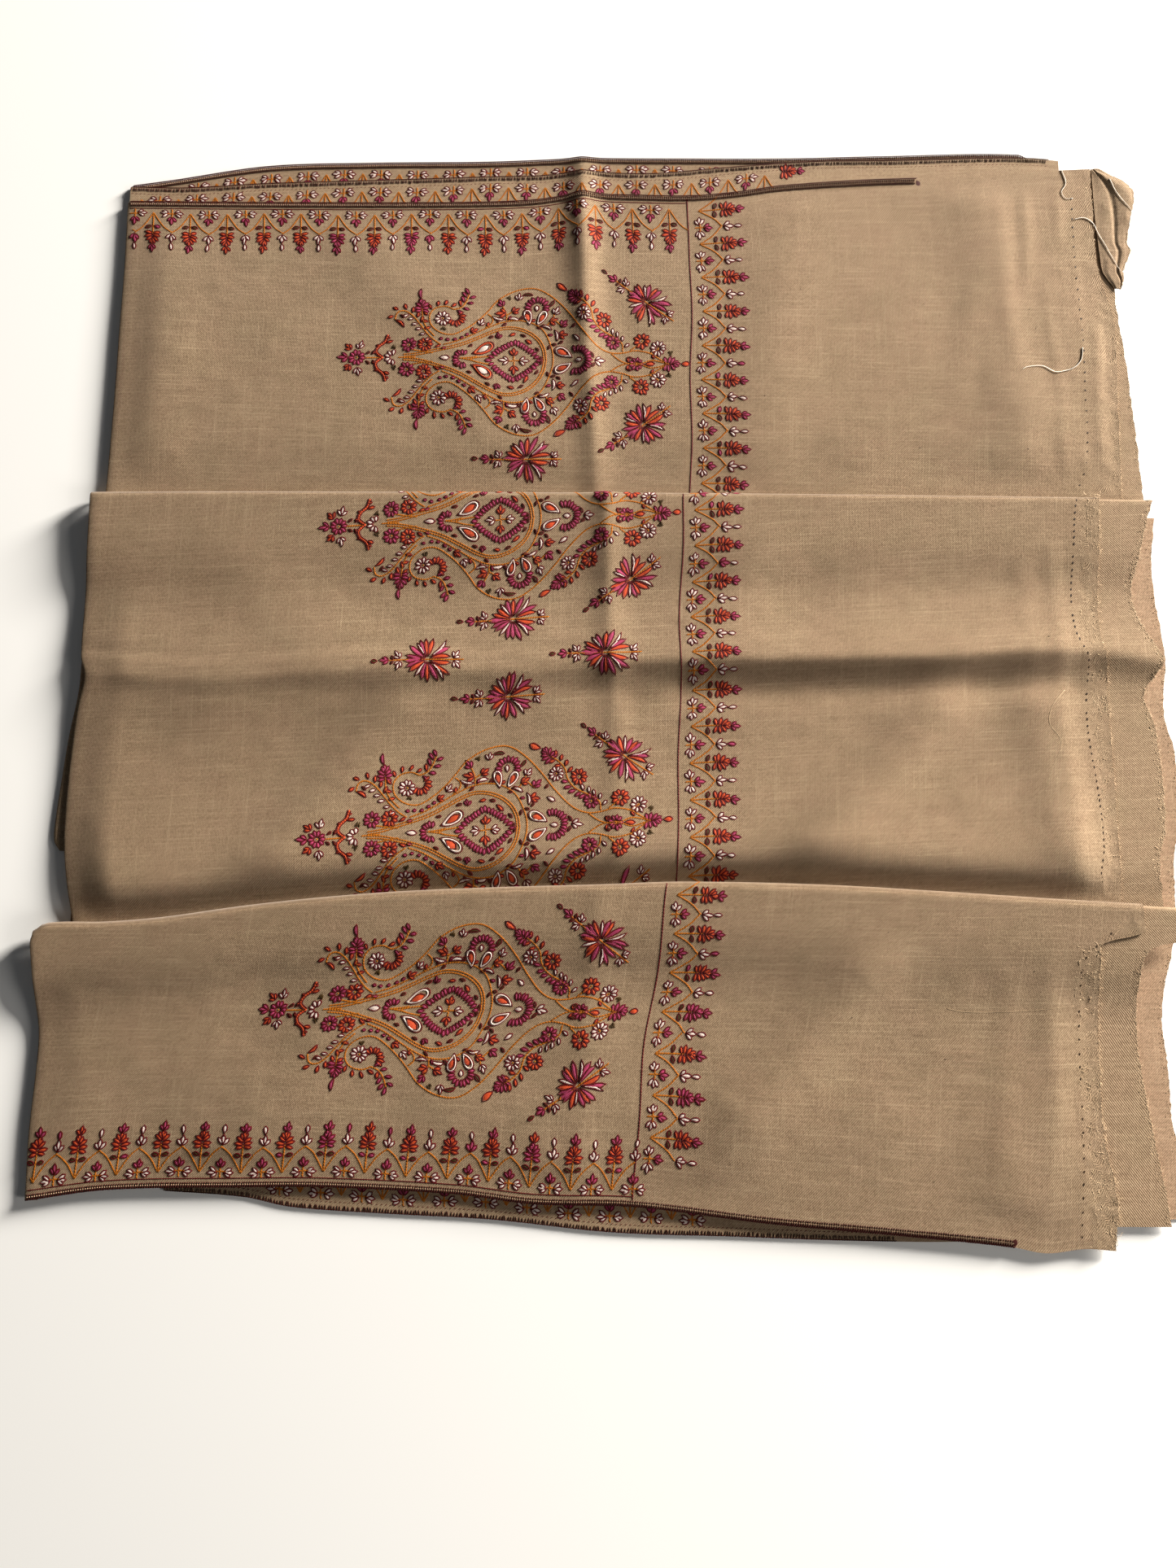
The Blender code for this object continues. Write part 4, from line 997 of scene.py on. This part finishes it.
# what fills one side of the cone, in the order of work; a teardrop's last entry says which pair of colours
coneSide = (
    (arcFan, 17 + 46.5j, 10.2, 5.4, -90, 225, 11), (petal, 16.5 + 44j, 90, 5, 3.2, "white"),
    (teardrop, 9.5 + 39j, 105, 12.5, 7.6, 0), (teardrop, 20.5 + 37.5j, 62, 12.5, 7.6, 0),
    (teardrop, 40 + 6.6j, 155, 14, 8.4, 0), (teardrop, -25.5 + 9.5j, 35, 17, 9.6, 1),
    (arcFan, -50 + 37.5j, 8.8, 5.4, 135, 190, 8, "orange"), (fanFlower, -77 + 42.5j, 92, 11.5, "magenta"),
    (leafRow, coneLines["body"][-38:], 1, ("orange",) * 7, 4.8, 2.3, 0, 1, 1.6, 62),
    (leafRow, coneLines["tail"], 1, ("orange", "magenta", "magenta"), 5.6, 2.4, 0.2),
    (leafRow, coneLines["tail"], -1, ("magenta",) * 4, 5.4, 2.4),
    (petal, -38.5 + 59j, 115, 6, 2.6, "magenta"),
    (leafRow, coneLines["arm"], -1, ("orange",) * 6, 5, 2.5, 0.42, 1, 1.7),
    (leafRow, coneLines["ring"], 1, ("orange", "darkBrown", "magenta", "darkBrown") * 2, 4.0, 2.0, 0.3, 0.92),
    (leafRow, coneLines["neckInner"], -1, ("orange", "magenta", "orange"), 4.0, 2.0, 0.15, 0.8),
    (leafRow, coneLines["arm"], 1, ("white",) * 6, 4.8, 2.3, 0.12, 0.74, 1.7),
    (leafRow, coneLines["feather"], -1, ("white",) * 5, 4.8, 2.3, 0.03, 0.4),
    (leafRow, coneLines["feather"], 1, ("magenta",) * 6, 5.4, 2.5, 0.22, 0.62),
    (leafRow, coneLines["feather"], -1, ("orange",) * 4, 5.4, 2.5, 0.66, 1.0),
    (leafRow, coneLines["feather"], 1, ("orange",) * 2, 5.0, 2.3, 0.78, 0.98),
    (stemLine, coneLines["bracket"], "orange", 1.9, 1.8, 0.5, 8),
    *((cordRound, path, "maroon", 0.9, 0.4, False) for path in sidePaths(coneLines["bracket"], 2.3)),
    *((petal, spot, way, 3.2, 1.7, "orange")
      for spot, way in ((-104.5 + 17j, 20), (-109.5 + 10.5j, 165), (-112 + 5j, 200))),
)
# what stands along its middle line
coneMiddle = (
    (stemLine, np.linspace(-80, -94, 12)), (stemLine, np.linspace(-108, -122, 20)),
    *((stemLine, smoothPath(points)) for rise in (-2.5, 2.5) for points in (
        ((-44, 0), (-36, rise * 0.4), (-30, rise)), ((-20, rise * 1.4), (-30, rise * 0.8), (-36, 0)))),
    (arcFan, 51, 12.6, 5.8, 180, 225, 15), (petal, 49.5, 0, 6, 3.6, "white"), (tulip, 66, 0, 8, "white"),
    (daisy, 99.5, 5.6, "magenta", 9), (petal, 106.5, 0, 7.5, 3.2, "orange"),
    (fanFlower, 123.5, 0, 12, "magenta"), (petal, 136, 0, 6.5, 4.2, "orange"),
    (daisy, -98.5, 6.6, "white", 6, None, 130, 0), (daisy, -127.5, 6.6, "magenta", 10),
    (tulip, -135, 180, 8, "magenta"), (arcFan, -41.5, 8.4, 5.0, 0, 240, 10), (petal, -60, 0, 8, 4.0, "white"),
)
diamond = {"wide": 20.5, "high": 16.5, "petals": 36, "round": 1.25, "turn": 0.6}


def bigCone(needle, origin, degrees, dropColours):
    for flip in (False, True):
        needle.at(origin, degrees, flip)
        for path in sidePaths(evenly(coneLines["heart"], 1.0), 1.9):
            stemLine(needle, path)
        for name, path in coneLines.items():
            if name not in ("heart", "bracket"):
                stemLine(needle, path)
        for row in coneSprigs:
            coneSprig(needle, *row)
        for draw, *how in coneSide:
            if draw is teardrop:
                how[-1:] = dropColours[how[-1]]
            draw(needle, *how)
    needle.at(origin, degrees)
    for draw, *how in coneMiddle:
        draw(needle, *how)
    wide, high, power, turn = (diamond[name] for name in ("wide", "high", "round", "turn"))
    for k in range(diamond["petals"]):
        angle = 2 * math.pi * k / diamond["petals"]
        c, s = math.cos(angle), math.sin(angle)
        reach = (abs(c / wide) ** power + abs(s / high) ** power) ** (-1 / power)
        rise, run = np.sign(s) * abs(s) ** turn / high, np.sign(c) * abs(c) ** turn / wide
        outward = math.degrees(math.atan2(rise, run))
        petal(needle, reach * complex(c, s) - towards(outward) * 2.6, outward, 5.2, 2.8, "magenta")
    for angle, colour in ((90, "orange"), (270, "orange"), (0, "white"), (180, "white")):
        stemLine(needle, np.array([towards(angle) * 0.5, towards(angle) * 6]))
        tulip(needle, towards(angle) * 4.5, angle, 7.5, colour)


# direction, where it starts and ends, width and bend of the petals on one side of the stem, and its colour
starPetals = ((12, 2.5, 19, 3.2, 0.08, "orange"), (31, 4, 20, 3.6, 0.05, "magenta"),
              (50, 3, 19.5, 2.5, -0.1, "white"), (69, 3, 18, 3.5, 0.02, "magenta"),
              (89, 2.5, 16, 3.4, 0.02, "orange"), (108, 2.5, 15.5, 3.6, 0.04, "magenta"),
              (127, 2.5, 15, 2.5, 0, "white"), (145, 2.5, 16, 3.5, 0.04, "orange"),
              (163, 2.5, 16.5, 3.3, 0.05, "magenta"))


def starFlower(needle, origin, degrees, wide=1.0, high=1.06):
    # a many-petalled flower with its stem running through it
    needle.at(origin, degrees)
    reach = 19 * wide
    stemLine(needle, np.linspace(reach + 9, -reach - 11, 60))
    for side in (-1, 1):
        for angle, start, stop, width, bend, colour in starPetals:
            heading = towards(angle)
            heading = complex(heading.real * wide, side * heading.imag * high)
            if needle.chance.random() < 0.12:
                colour = {"orange": "magenta", "magenta": "orange", "white": "white"}[colour]
            petal(needle, heading * start, math.degrees(math.atan2(heading.imag, heading.real)),
                  (stop - start) * abs(heading), width, colour, bend=bend * side, stations=6)
    petal(needle, -2.5 * wide, 180, 16 * wide, 4.3, "magenta", stations=6)
    for side in (-1, 1):
        tulip(needle, complex(reach + 1.5, side * 1.3), side * 52, 6.6, "white")
        tulip(needle, complex(-reach - 2.5, side * 1.3), 180 - side * 62, 6.6, "white")
    for side in (-1, 1):
        petal(needle, -reach - 7.5, 180 + side * 65, 4.0, 1.68, "darkBrown", bend=-0.05 * side)
    tulip(needle, -reach - 11, 180, 7.5, "magenta")
    petal(needle, -reach - 20, 180, 5, 2.8, "darkBrown")


# The vine border: one repeat, measured in from the hem's inner line
vineShape = {"repeat": 30.5, "low": 4.5, "top": 23.5, "bandRepeat": 29.0, "hemRepeats": 16, "bandRepeats": 34}


def vineRepeat(needle, origin, degrees, width):
    needle.at(origin, degrees)
    half, low, top = width / 2, vineShape["low"], vineShape["top"] + needle.chance.uniform(-0.8, 0.8)

    def mostly(usual, other, odds):
        return usual if needle.chance.random() > odds else other

    for side in (-1, 1):
        stemLine(needle, smoothPath(((0, low), (side * 2.6, low + 4.5), (side * 5.6, low + 9.5),
                                     (side * 9.0, top - 5), (side * 12.2, top - 2.2), (side * half, top))))
        petal(needle, complex(side, 17.4), 90 - side * 76, 5.2, 2.9, mostly("darkBrown", "magenta", 0.12))
    stemLine(needle, np.linspace(low, 26, 12) * 1j)
    fanFlower(needle, 24.6j, 90, 12.0, mostly("orange", "magenta", 0.07))
    tulip(needle, complex(0.3, 35.5), 90, 7.4, mostly("magenta", "orange", 0.15))
    tulip(needle, complex(half, top + 1.5), 90, 8.2, mostly("white", "magenta", 0.08))
    stemLine(needle, np.array([complex(half, top + 7), complex(half, top + 11)]), "maroon", 0.8)
    petal(needle, complex(half, top + 10), 90, 6.4, 2.8, mostly("white", "magenta", 0.15))
    stemLine(needle, np.array([complex(half, 0.8), complex(half, 9.5)]))
    stemLine(needle, np.array([complex(half - 4.5, 5.0), complex(half + 4.5, 5.0)]))
    for side in (-1, 1):
        for spread, size in ((38, 6.2), (2, 6.8), (-34, 5.4)):
            petal(needle, complex(half + side * 2.6, 4.4), 90 - side * 90 + side * spread, size, 2.7, "white")
    tulip(needle, complex(half, 8.4), 90, 7.6, "magenta")


def shownOn(stretch, crestLimit, coveredBy=None):
    # keeps the stitches that show: this side of the roll, inside the cloth, not under the next fold
    def shown(u, v):
        y = float(stretch.yOfV(u + 50.0, np.array(v)))
        for _ in range(2):
            x = u + float(curve(stretch.seam, y))
            y = float(stretch.yOfV(x, np.array(v)))
        if x < float(curve(stretch.sides, y, 1)) + 4.5 or x > float(curve(stretch.sides, y, 3)) - 1:
            return False
        if stretch.roll and y > float(stretch.farY(x)) + crestLimit:
            return False
        if coveredBy is not None and y < float(curve(coveredBy, x)) - 3:
            return False
        return 1 <= v <= 1017
    return shown


# stretch, range of u and of v, how far up its roll the stitches show, the fold over it, seed
stretches, patches, needles = {"far": farStretch, "middle": middleStretch, "near": nearStretch}, {}, {}
for name, uRange, vRange, crestLimit, coveredBy, seed in (
        ("far", (-480, 360), (-4, 275), 0, middleFold, 21),
        ("middle", (-490, 350), (340, 712), 4.5, nearFold, 22),
        ("near", (-490, 372), (770, 1024), 4.5, None, 23)):
    stretch = stretches[name]
    patches[name] = Patch(stretch.point, uRange, vRange)
    needles[name] = Needle(name + "Embroidery", patches[name], shownOn(stretch, crestLimit, coveredBy), seed)
print("patches of cloth measured")

# which stretch, u and v of each large cone's middle, tilt, colours of its drops
dark, pale = ("white", "orange"), ("orange", "white")
for name, u, v, tilt, drops in (
        ("far", -143, 145, 0, (dark, pale)), ("middle", -144, 391, 0, (dark, dark)),
        ("middle", -147, 637, 0.5, (dark, dark)), ("near", -151, 883, 0, (dark, dark))):
    bigCone(needles[name], complex(u, -v), tilt, drops)
    for du, dv, angle in ((106, -53, -36), (104, 52, 36)):
        starFlower(needles[name], complex(u + du, -(v + dv)), angle, 0.97, 0.97)
print("cones worked")
# small flowers between the cones: u, v
for name, u, v in (("far", -132, 229), ("middle", -130, 472), ("middle", -196, 503), ("middle", -58, 503),
                   ("middle", -134, 534), ("near", -134, 783)):
    starFlower(needles[name], complex(u, -v), 0)
for k in range(vineShape["hemRepeats"]):              # along both hems, up to the maroon line
    u = -vineShape["repeat"] * (k + 0.5)
    vineRepeat(needles["far"], complex(u, -6.3), 180, vineShape["repeat"])
    vineRepeat(needles["near"], complex(u, -1011.7), 0, vineShape["repeat"])
for k in range(vineShape["bandRepeats"]):             # down the cloth, right of the maroon line
    for needle in needles.values():
        vineRepeat(needle, complex(4.8, -14 - vineShape["bandRepeat"] * k), -90, vineShape["bandRepeat"])
for name, low, high in (("far", 2, 262), ("middle", 345, 702), ("near", 775, 1014)):
    stemLine(needles[name].at(0j), -1j * np.linspace(low, high, 60), "maroon", 1.15, 2.4)
print("borders worked")

# Hems: a band of blanket stitch over the edge and a chain line a little inside it
hemLook = {"pitch": 1.75, "reach": 2.4, "tickWidth": 1.15, "gap": 2.35, "innerReach": 1.7, "innerLine": 6.2,
           "combReach": 4.0, "combPitch": 2.1, "runningPitch": 3.4}


def edgeLine(needle, edgeOf, start, stop, aside, *how):
    # a line of stem stitch beside an edge
    steps = np.linspace(start, stop, int((stop - start) / 4))
    stemLine(needle, np.array([edgeOf(s) + aside for s in steps]), *how)


def blanketBand(needle, edgeOf, start, stop, inward, innerTo=None):
    # edgeOf gives the edge's place for each step along it; inward points into the cloth
    pitch, chance = hemLook["pitch"], needle.chance
    ticks = ((-0.5, hemLook["reach"], hemLook["tickWidth"]), (hemLook["gap"], hemLook["innerReach"], 1.1))
    along, across, lift, faces = lenses[4]
    for k in range(int((stop - start) / pitch)):
        edge = edgeOf(start + pitch * (k + 0.5))
        for first, reach, wide in ticks:
            base = edge + inward * (first + chance.uniform(-0.12, 0.12)) + chance.uniform(-0.15, 0.15)
            places = base + inward * (along * reach + 1j * across * wide / 2)
            needle.add(places, lift * 0.85 + 0.1, faces, "hemBrown", across * wide / 2, along * reach)
        places = edge + inward * (1.3 + along * 1.25) + 1j * inward * across * 0.34 + 0.4
        needle.add(places, lift * 0.9 + 0.35, faces, "hemLight", across * 0.3, along)
    edgeLine(needle, edgeOf, start, stop, -inward * 0.35, "hemBrown", 0.95, 1.75, 0.95, 20)
    if innerTo is not None:
        edgeLine(needle, edgeOf, start, innerTo, inward * hemLook["innerLine"], "maroon", 0.9, 2.0)


def combEdge(needle, edgeOf, start, stop, inward):
    # the back of a blanket stitch: bars standing in from a line along the edge
    reach, pitch, apart = hemLook["combReach"], hemLook["combPitch"], hemLook["runningPitch"]
    along, across, lift, faces = lenses[4]
    for k in range(int((stop - start) / pitch)):
        edge = edgeOf(start + pitch * (k + 0.5)) + needle.chance.uniform(-0.2, 0.2)
        lean = inward * complex(math.cos(0.25), math.sin(0.25) * needle.chance.uniform(-1, 1))
        places = edge + lean * (along * reach * needle.chance.uniform(0.85, 1.1) + 1j * across * 0.3)
        needle.add(places, lift * 0.6 + 0.1, faces, "hemBrown", across * 0.4, along * reach)
    edgeLine(needle, edgeOf, start, stop, 0, "hemBrown", 0.8, 1.75, 0.7, 20)
    for k in range(int((stop - start) / apart)):           # slanting running stitches a little inside
        at = edgeOf(start + apart * (k + 0.5)) + inward * (reach + 1.9)
        places = at + (along - 0.5) * complex(2.1, 0.9) + 1j * across * 0.3
        needle.add(places, lift * 0.4, faces, "maroon", across * 0.3, along * 2)


# Stitching on the strips of the lower plies: name, place on the strip, its edge, the hem over it, whether it
# lies wrong side up, which way is into the cloth, from and to along it, where the flowers stop
for name, place, edge, above, wrongSide, inward, first, last, flowersTo in (
        ("farSecondStitching", farSecondPlace, secondFarHem, farHem, True, -1j, farEnds[0], 366, 128),
        ("farThirdStitching", farThirdPlace, thirdFarHem, secondFarHem, False, -1j, farEnds[0], 356, 118),
        ("nearSecondStitching", lambda u, v: nearSecondPlace(u, -v), secondNearHem, nearHem, True, 1j,
         nearEnds[0], 208, 60)):
    def shownOnStrip(u, v, edge=edge, above=above, first=first):
        return u > first + 1 and abs(v) < abs(float(curve(edge, u)) - float(curve(above, u))) + 1.5

    strip = Needle(name, Patch(place, (-404, 380), (-3, 32) if inward == -1j else (-32, 3)), shownOnStrip, 41)
    strip.wander = 0.0
    (combEdge if wrongSide else blanketBand)(strip, lambda u: complex(u, 0), first, last, inward)
    strip.wander = handWork["wander"]
    for k in range(int((flowersTo - first) / vineShape["repeat"]) + 1):
        spot = complex(first + vineShape["repeat"] * (k + 0.3), 0) + inward * (6.0 if wrongSide else 5.0)
        vineRepeat(strip, spot, 180 if inward == -1j else 0, vineShape["repeat"])
    if name == "farSecondStitching":                  # the end flower of this ply's own lengthwise border
        fanFlower(strip.at(0j), complex(143, -8), 0, 12.5, "orange")
        tulip(strip, complex(155, -8), 0, 7, "magenta")
    strip.finish("twill_wrong_side" if wrongSide else "twill_face")
print("strips of the lower plies worked")

# stretch, v of its hem, from and to along it, way in, its corner stitch, seed
for name, v, first, last, inward, corner, way, seed in (
        ("far", 0, -461, 193, -1j, 192.5 - 0.6j, -65, 31),
        ("near", 1018, -447, 282, 1j, 281.5 - 1018.2j, 80, 32)):
    hem = Needle(name + "HemStitching", patches[name], lambda u, v: True, seed)
    hem.wander = 0.0
    blanketBand(hem, lambda u: complex(u, -v), first, last, inward, 0)
    petal(hem, corner, way, 5.2, 3.8, "hemBrown", None)
    hem.finish()
# holes left by the pulled thread, along the raw end's margin: short gaps drawn as dark stitches in painted
# shade, one under the other
along, across, lift, faces = lenses[4]
for name, y, last, gap, longest in (("far", 397, 141, 8.7, 1.9), ("middle", 132, -168, 5.2, 3.0),
                                    ("near", -190, -432, 9.8, 2.3)):
    needle, stretch = needles[name].at(0j), stretches[name]
    while y > last:
        x = float(curve(pulledThread, y))
        spot = complex(x - float(curve(stretch.seam, y)), -float(stretch.vOfY(x, y)))
        size = longest * needle.chance.uniform(0.6, 1.0)
        if needle.chance.random() < 0.94:
            places = spot + 1j * along * size + across * 0.7
            needle.add(places, lift * 0.1 + 0.08, faces, "hole", across, along * size)
        y -= gap * needle.chance.uniform(0.86, 1.14)
for needle in needles.values():
    needle.finish()
print("needlework done")

# Loose wool ends along the raw edges, and a few long threads lying on the cloth
frayLook = {"thick": 0.15, "stations": 6, "least": 0.35, "alongThick": 0.19, "threadThick": 0.36,
            "flapThread": 0.34, "fineThick": 0.2, "fleckThick": 0.3, "cornerEnds": 150, "flecks": 16}


class Fibres(Gathered):
    # thin three-sided threads gathered into one mesh

    def add(self, path, thick, slot=0):
        path = np.asarray(path, float)
        ahead = unit(np.gradient(path, axis=0))
        side = unit(np.cross(ahead, (0, 0, 1.0)))
        up = np.cross(side, ahead)
        taper = np.clip(np.linspace(1.15, 0.55, len(path)), 0, 1)[:, None] * thick
        rings = [path + taper * (side * math.cos(a) + up * math.sin(a)) for a in (0.5, 2.6, 4.7)]
        run = np.repeat(np.concatenate([[0], np.cumsum(np.linalg.norm(np.diff(path, axis=0), axis=1))]), 3)
        faces = []
        for k in range(len(path) - 1):
            for s in range(3):
                a, b = 3 * k + s, 3 * k + (s + 1) % 3
                faces += [(a, b, b + 3), (a, b + 3, a + 3)]
        last = 3 * (len(path) - 1)
        faces += [(0, 2, 1), (last, last + 1, last + 2)]
        self.gather(np.stack(rings, 1).reshape(-1, 3), np.array(faces),
                    np.stack([np.tile([0, 0.3, 0.6], len(path)), run + self.count], 1), slot)

    def finish(self, slotName):
        kinds = [flosses[flossNames.index(kind)] for kind in ("fray", "thread", "hole")]
        self.close(np.concatenate(self.points), kinds, slotName)


def curledEnd(fibres, chance, start, heading, length, drop, curl):
    # one loose end: it wanders and sinks onto what is below
    turn, place, path = chance.uniform(-curl, curl), np.array(start, float), []
    angle, stations, least = heading, frayLook["stations"], frayLook["least"]
    for k in range(stations):
        path.append(place.copy())
        angle += turn + chance.uniform(-0.25, 0.25)
        place = place + length / stations * np.array([math.cos(angle), math.sin(angle), 0])
        place[2] = max(start[2] - drop * (k + 1) / stations + 0.12 * math.sin(2.0 * k + start[1]), least)
    fibres.add(path, frayLook["thick"] * chance.uniform(0.8, 1.3))


# stretch, y from and to, loose ends to a millimetre, longest end, depth of the loosened band
for name, first, last, density, longest, band in (
        ("far", 418, 142, 0.9, 3.2, 6), ("middle", 138, -170, 1.7, 6.0, 15),
        ("near", -216, -438, 2.6, 8.0, 18)):
    stretch, fibres = stretches[name], Fibres(name + "Fray")
    chance = random.Random(len(fibres.name) * 7)
    for k in range(int((first - last) * density)):
        y = chance.uniform(last, first)
        inside = band * chance.random() ** 1.8
        x = float(curve(stretch.sides, y, 3)) - inside
        edge = inside < 2.0
        length = chance.uniform(0.35, 1.0) * longest * (1.0 if edge else 0.7)
        way = chance.uniform(-1.0, 1.0) if edge else chance.choice((0, math.pi)) + chance.uniform(-1.1, 1.1)
        curledEnd(fibres, chance, (x, y, stretch.heightAt(x, y) + (0.1 if edge else 0.0)), way, length,
                  1.3 if edge else 0.0, 0.9 if band > 10 else 0.5)
    for k in range(int(band * 0.55)):                       # threads that lie along the edge
        inset = 0.8 + band * (k / (band * 0.55)) ** 1.3 * 0.8 + chance.uniform(-0.3, 0.3)
        start, stop = sorted((chance.uniform(last, first), chance.uniform(last, first)), reverse=True)
        y = np.arange(start, stop, -1.6)
        if len(y) < 6:
            continue
        x = curve(stretch.sides, y, 3) - inset + 0.8 * softNoise(y, y * 0 + k, 3.6, 23)
        x = x + 1.2 * softNoise(y, y * 0 + k, 17, 24)
        y = y + 0.9 * softNoise(x * 0 + k, y, 4.1, 25)
        z = stretch.height(x, y) - 0.1 + 0.04 * softNoise(y, x * 0 + k, 5, 26)
        fibres.add(np.stack([x, y, z], 1), frayLook["alongThick"])
    fibres.finish("twill_face")

# raw ends of the plies below: table of ends, y from and to, the stretch over it, least height of the edge,
# ends to a millimetre, longest, how many turn inward
fibres, chance = Fibres("lowerPlyFray"), random.Random(77)
for ends, first, last, stretch, least, density, longest, inward in (
        (farSecondEnd, 420, 145, farStretch, 0, 1.2, 3.5, 0.3),
        (middleSecondEnd, 135, -170, middleStretch, 2.8, 2.2, 5.5, 0.6),
        (nearSecondEnd, -218, -420, nearStretch, 2.8, 1.6, 4.5, 0.5),
        (middleThirdEnd, 120, -188, None, 1.4, 0.8, 3.0, 0.2),
        (nearThirdEnd, -204, -415, None, 1.4, 0.8, 3.0, 0.2)):
    for k in range(int((first - last) * density)):
        y = chance.uniform(last, first)
        x = float(curve(ends, y)) - 5 * chance.random() ** 2.2
        heading = (math.pi if chance.random() < inward else 0) + chance.uniform(-1.2, 1.2)
        z = max(stretch.heightAt(x, y) - 1.4, least) if stretch else least
        curledEnd(fibres, chance, (x, y, z + 0.05), heading, chance.uniform(0.35, 1) * longest, 0.8, 1.0)
for k in range(frayLook["cornerEnds"]):                     # outer edge of the turned corner
    share = chance.random()
    x, y = float(curve(flapRows, share, 3)), float(curve(flapRows, share, 1))
    curledEnd(fibres, chance, (x - 0.5, y, float(flapHeight(np.array(share), np.array(1.0))) + 0.1),
              chance.uniform(-1.3, 1.3), chance.uniform(1.5, 5), 1.5, 0.9)
fibres.finish("twill_wrong_side")

# x, y of long loose threads, and the stretch they lie on
looseThreads = (
    (farStretch, ((375, 423), (378, 411), (374, 403), (377, 397), (383, 397))),
    (farStretch, ((383, 378), (391, 379.5), (398, 375), (403, 364), (407, 356), (411.5, 346), (416, 337),
                  (419, 331))),
    (farStretch, ((382.6, 264), (381, 254), (375, 247), (367, 244), (359, 243), (349, 248), (337, 247),
                  (332, 244.5))),
    (middleStretch, ((352, -20), (341, -33), (338, -47), (346, -62), (336, -86), (331, -101))),
    (nearStretch, ((250, -264), (265, -266.5), (290, -266.5), (318, -265), (345, -262))),
)
threads = Fibres("looseThreads")
for number, (stretch, places) in enumerate(looseThreads):
    path, bright = smoothPath(places, 1.2), number < 3
    x, y = path.real, path.imag
    z = stretch.height(np.minimum(x, curve(stretch.sides, y, 3) - 1), y) + (0.5 if bright else 0.02)
    if number == 1:                                         # it crosses over the turned corner
        z = np.where(x > 400.5, flapTop(x, y) + 0.45, z)
    thick = frayLook["threadThick" if bright else "fineThick"]
    threads.add(np.stack([x, y, z], 1), thick, int(bright))
path = smoothPath(((414, 414), (420, 401), (427, 391), (431, 386)), 1.2)
high = flapTop(path.real, path.imag) + 0.4
threads.add(np.stack([path.real, path.imag, high], 1), frayLook["flapThread"], 1)
chance = random.Random(5)
for k in range(frayLook["flecks"]):                         # flecks of dark fibre
    x, y = chance.uniform(80, 350), chance.uniform(-400, 380)
    stretch = farStretch if y > 150 else middleStretch if y > -160 else nearStretch
    if stretch.roll and y > float(stretch.farY(x)) - 4:
        continue
    z, angle = stretch.heightAt(x, y), chance.uniform(0, 3.1)
    path = [(x + d * math.cos(angle), y + d * math.sin(angle), z + 0.08) for d in (0, 0.6, 1.3)]
    threads.add(path, frayLook["fleckThick"], 2)
threads.finish("twill_face")
print("raw edges frayed")

# Camera where the photograph was taken from, floor and light
cameraLook = {"place": (-0.019, -0.220, 0.905), "tilt": 8.0, "focalPixels": 1447.0, "longSide": 1927.0,
              "sensor": 36.0}
scene = bpy.context.scene
camera = bpy.data.cameras.new("camera")
camera.sensor_fit, camera.sensor_width = "AUTO", cameraLook["sensor"]
camera.lens = cameraLook["focalPixels"] / cameraLook["longSide"] * cameraLook["sensor"]
camera.clip_start, camera.clip_end = 0.02, 30.0
cameraObject = bpy.data.objects.new("camera", camera)
cameraObject.location = cameraLook["place"]
cameraObject.rotation_euler = (math.radians(cameraLook["tilt"]), 0, 0)
scene.collection.objects.link(cameraObject)
scene.camera = cameraObject

stageLook = {"floor": "#FCFBF8", "reach": 4000, "floorHigh": -0.25, "worldStrength": 0.055,
             "wallStrength": 0.78, "worldTint": (0.93, 0.96, 1.0, 1.0)}
# name, place, size in metres, watts, tint: a low window past the far right corner, a weaker one at the right
windows = (("farRightWindow", (3.85, 2.60, 1.22), 1.3, 985.0, (1.0, 0.955, 0.89)),
           ("rightWindow", (2.6, -1.2, 1.3), 1.0, 32.0, (1.0, 0.96, 0.91)))
corners = np.array([(x * stageLook["reach"], y * stageLook["reach"], stageLook["floorHigh"])
                    for x, y in ((-1, -1), (1, -1), (1, 1), (-1, 1))], float)
floorMaterial, add = newMaterial("matteWhiteTable")
shader = add("BsdfPrincipled", {"Base Color": linearColour(stageLook["floor"]), "Roughness": 0.8,
                                "Specular IOR Level": 0.2})
add("OutputMaterial", {"Surface": shader})
floor = makeMesh("floor", corners, [(0, 1, 2), (0, 2, 3)], corners[:, :2], [floorMaterial])

for name, place, size, power, tint in windows:
    window = bpy.data.lights.new(name, "AREA")
    window.shape, window.size, window.energy, window.color = "SQUARE", size, power, tint
    windowObject = bpy.data.objects.new(name, window)
    windowObject.location = place
    windowObject.rotation_euler = (-windowObject.location).to_track_quat("-Z", "Y").to_euler()
    scene.collection.objects.link(windowObject)

world = bpy.data.worlds.new("softStudio")
world.use_nodes = True
world.node_tree.nodes.clear()
add = partial(addNode, world.node_tree)
# past the floor stands a pale wall, which gives the room only a weak light
glow = add("Math", {0: add("LightPath").outputs["Is Camera Ray"], 2: stageLook["worldStrength"],
                    1: stageLook["wallStrength"] - stageLook["worldStrength"]}, operation="MULTIPLY_ADD")
sky = add("Background", {"Color": stageLook["worldTint"], "Strength": glow})
add("OutputWorld", {"Surface": sky})
scene.world = world
scene.view_settings.view_transform = "Standard"
print("camera and light set")
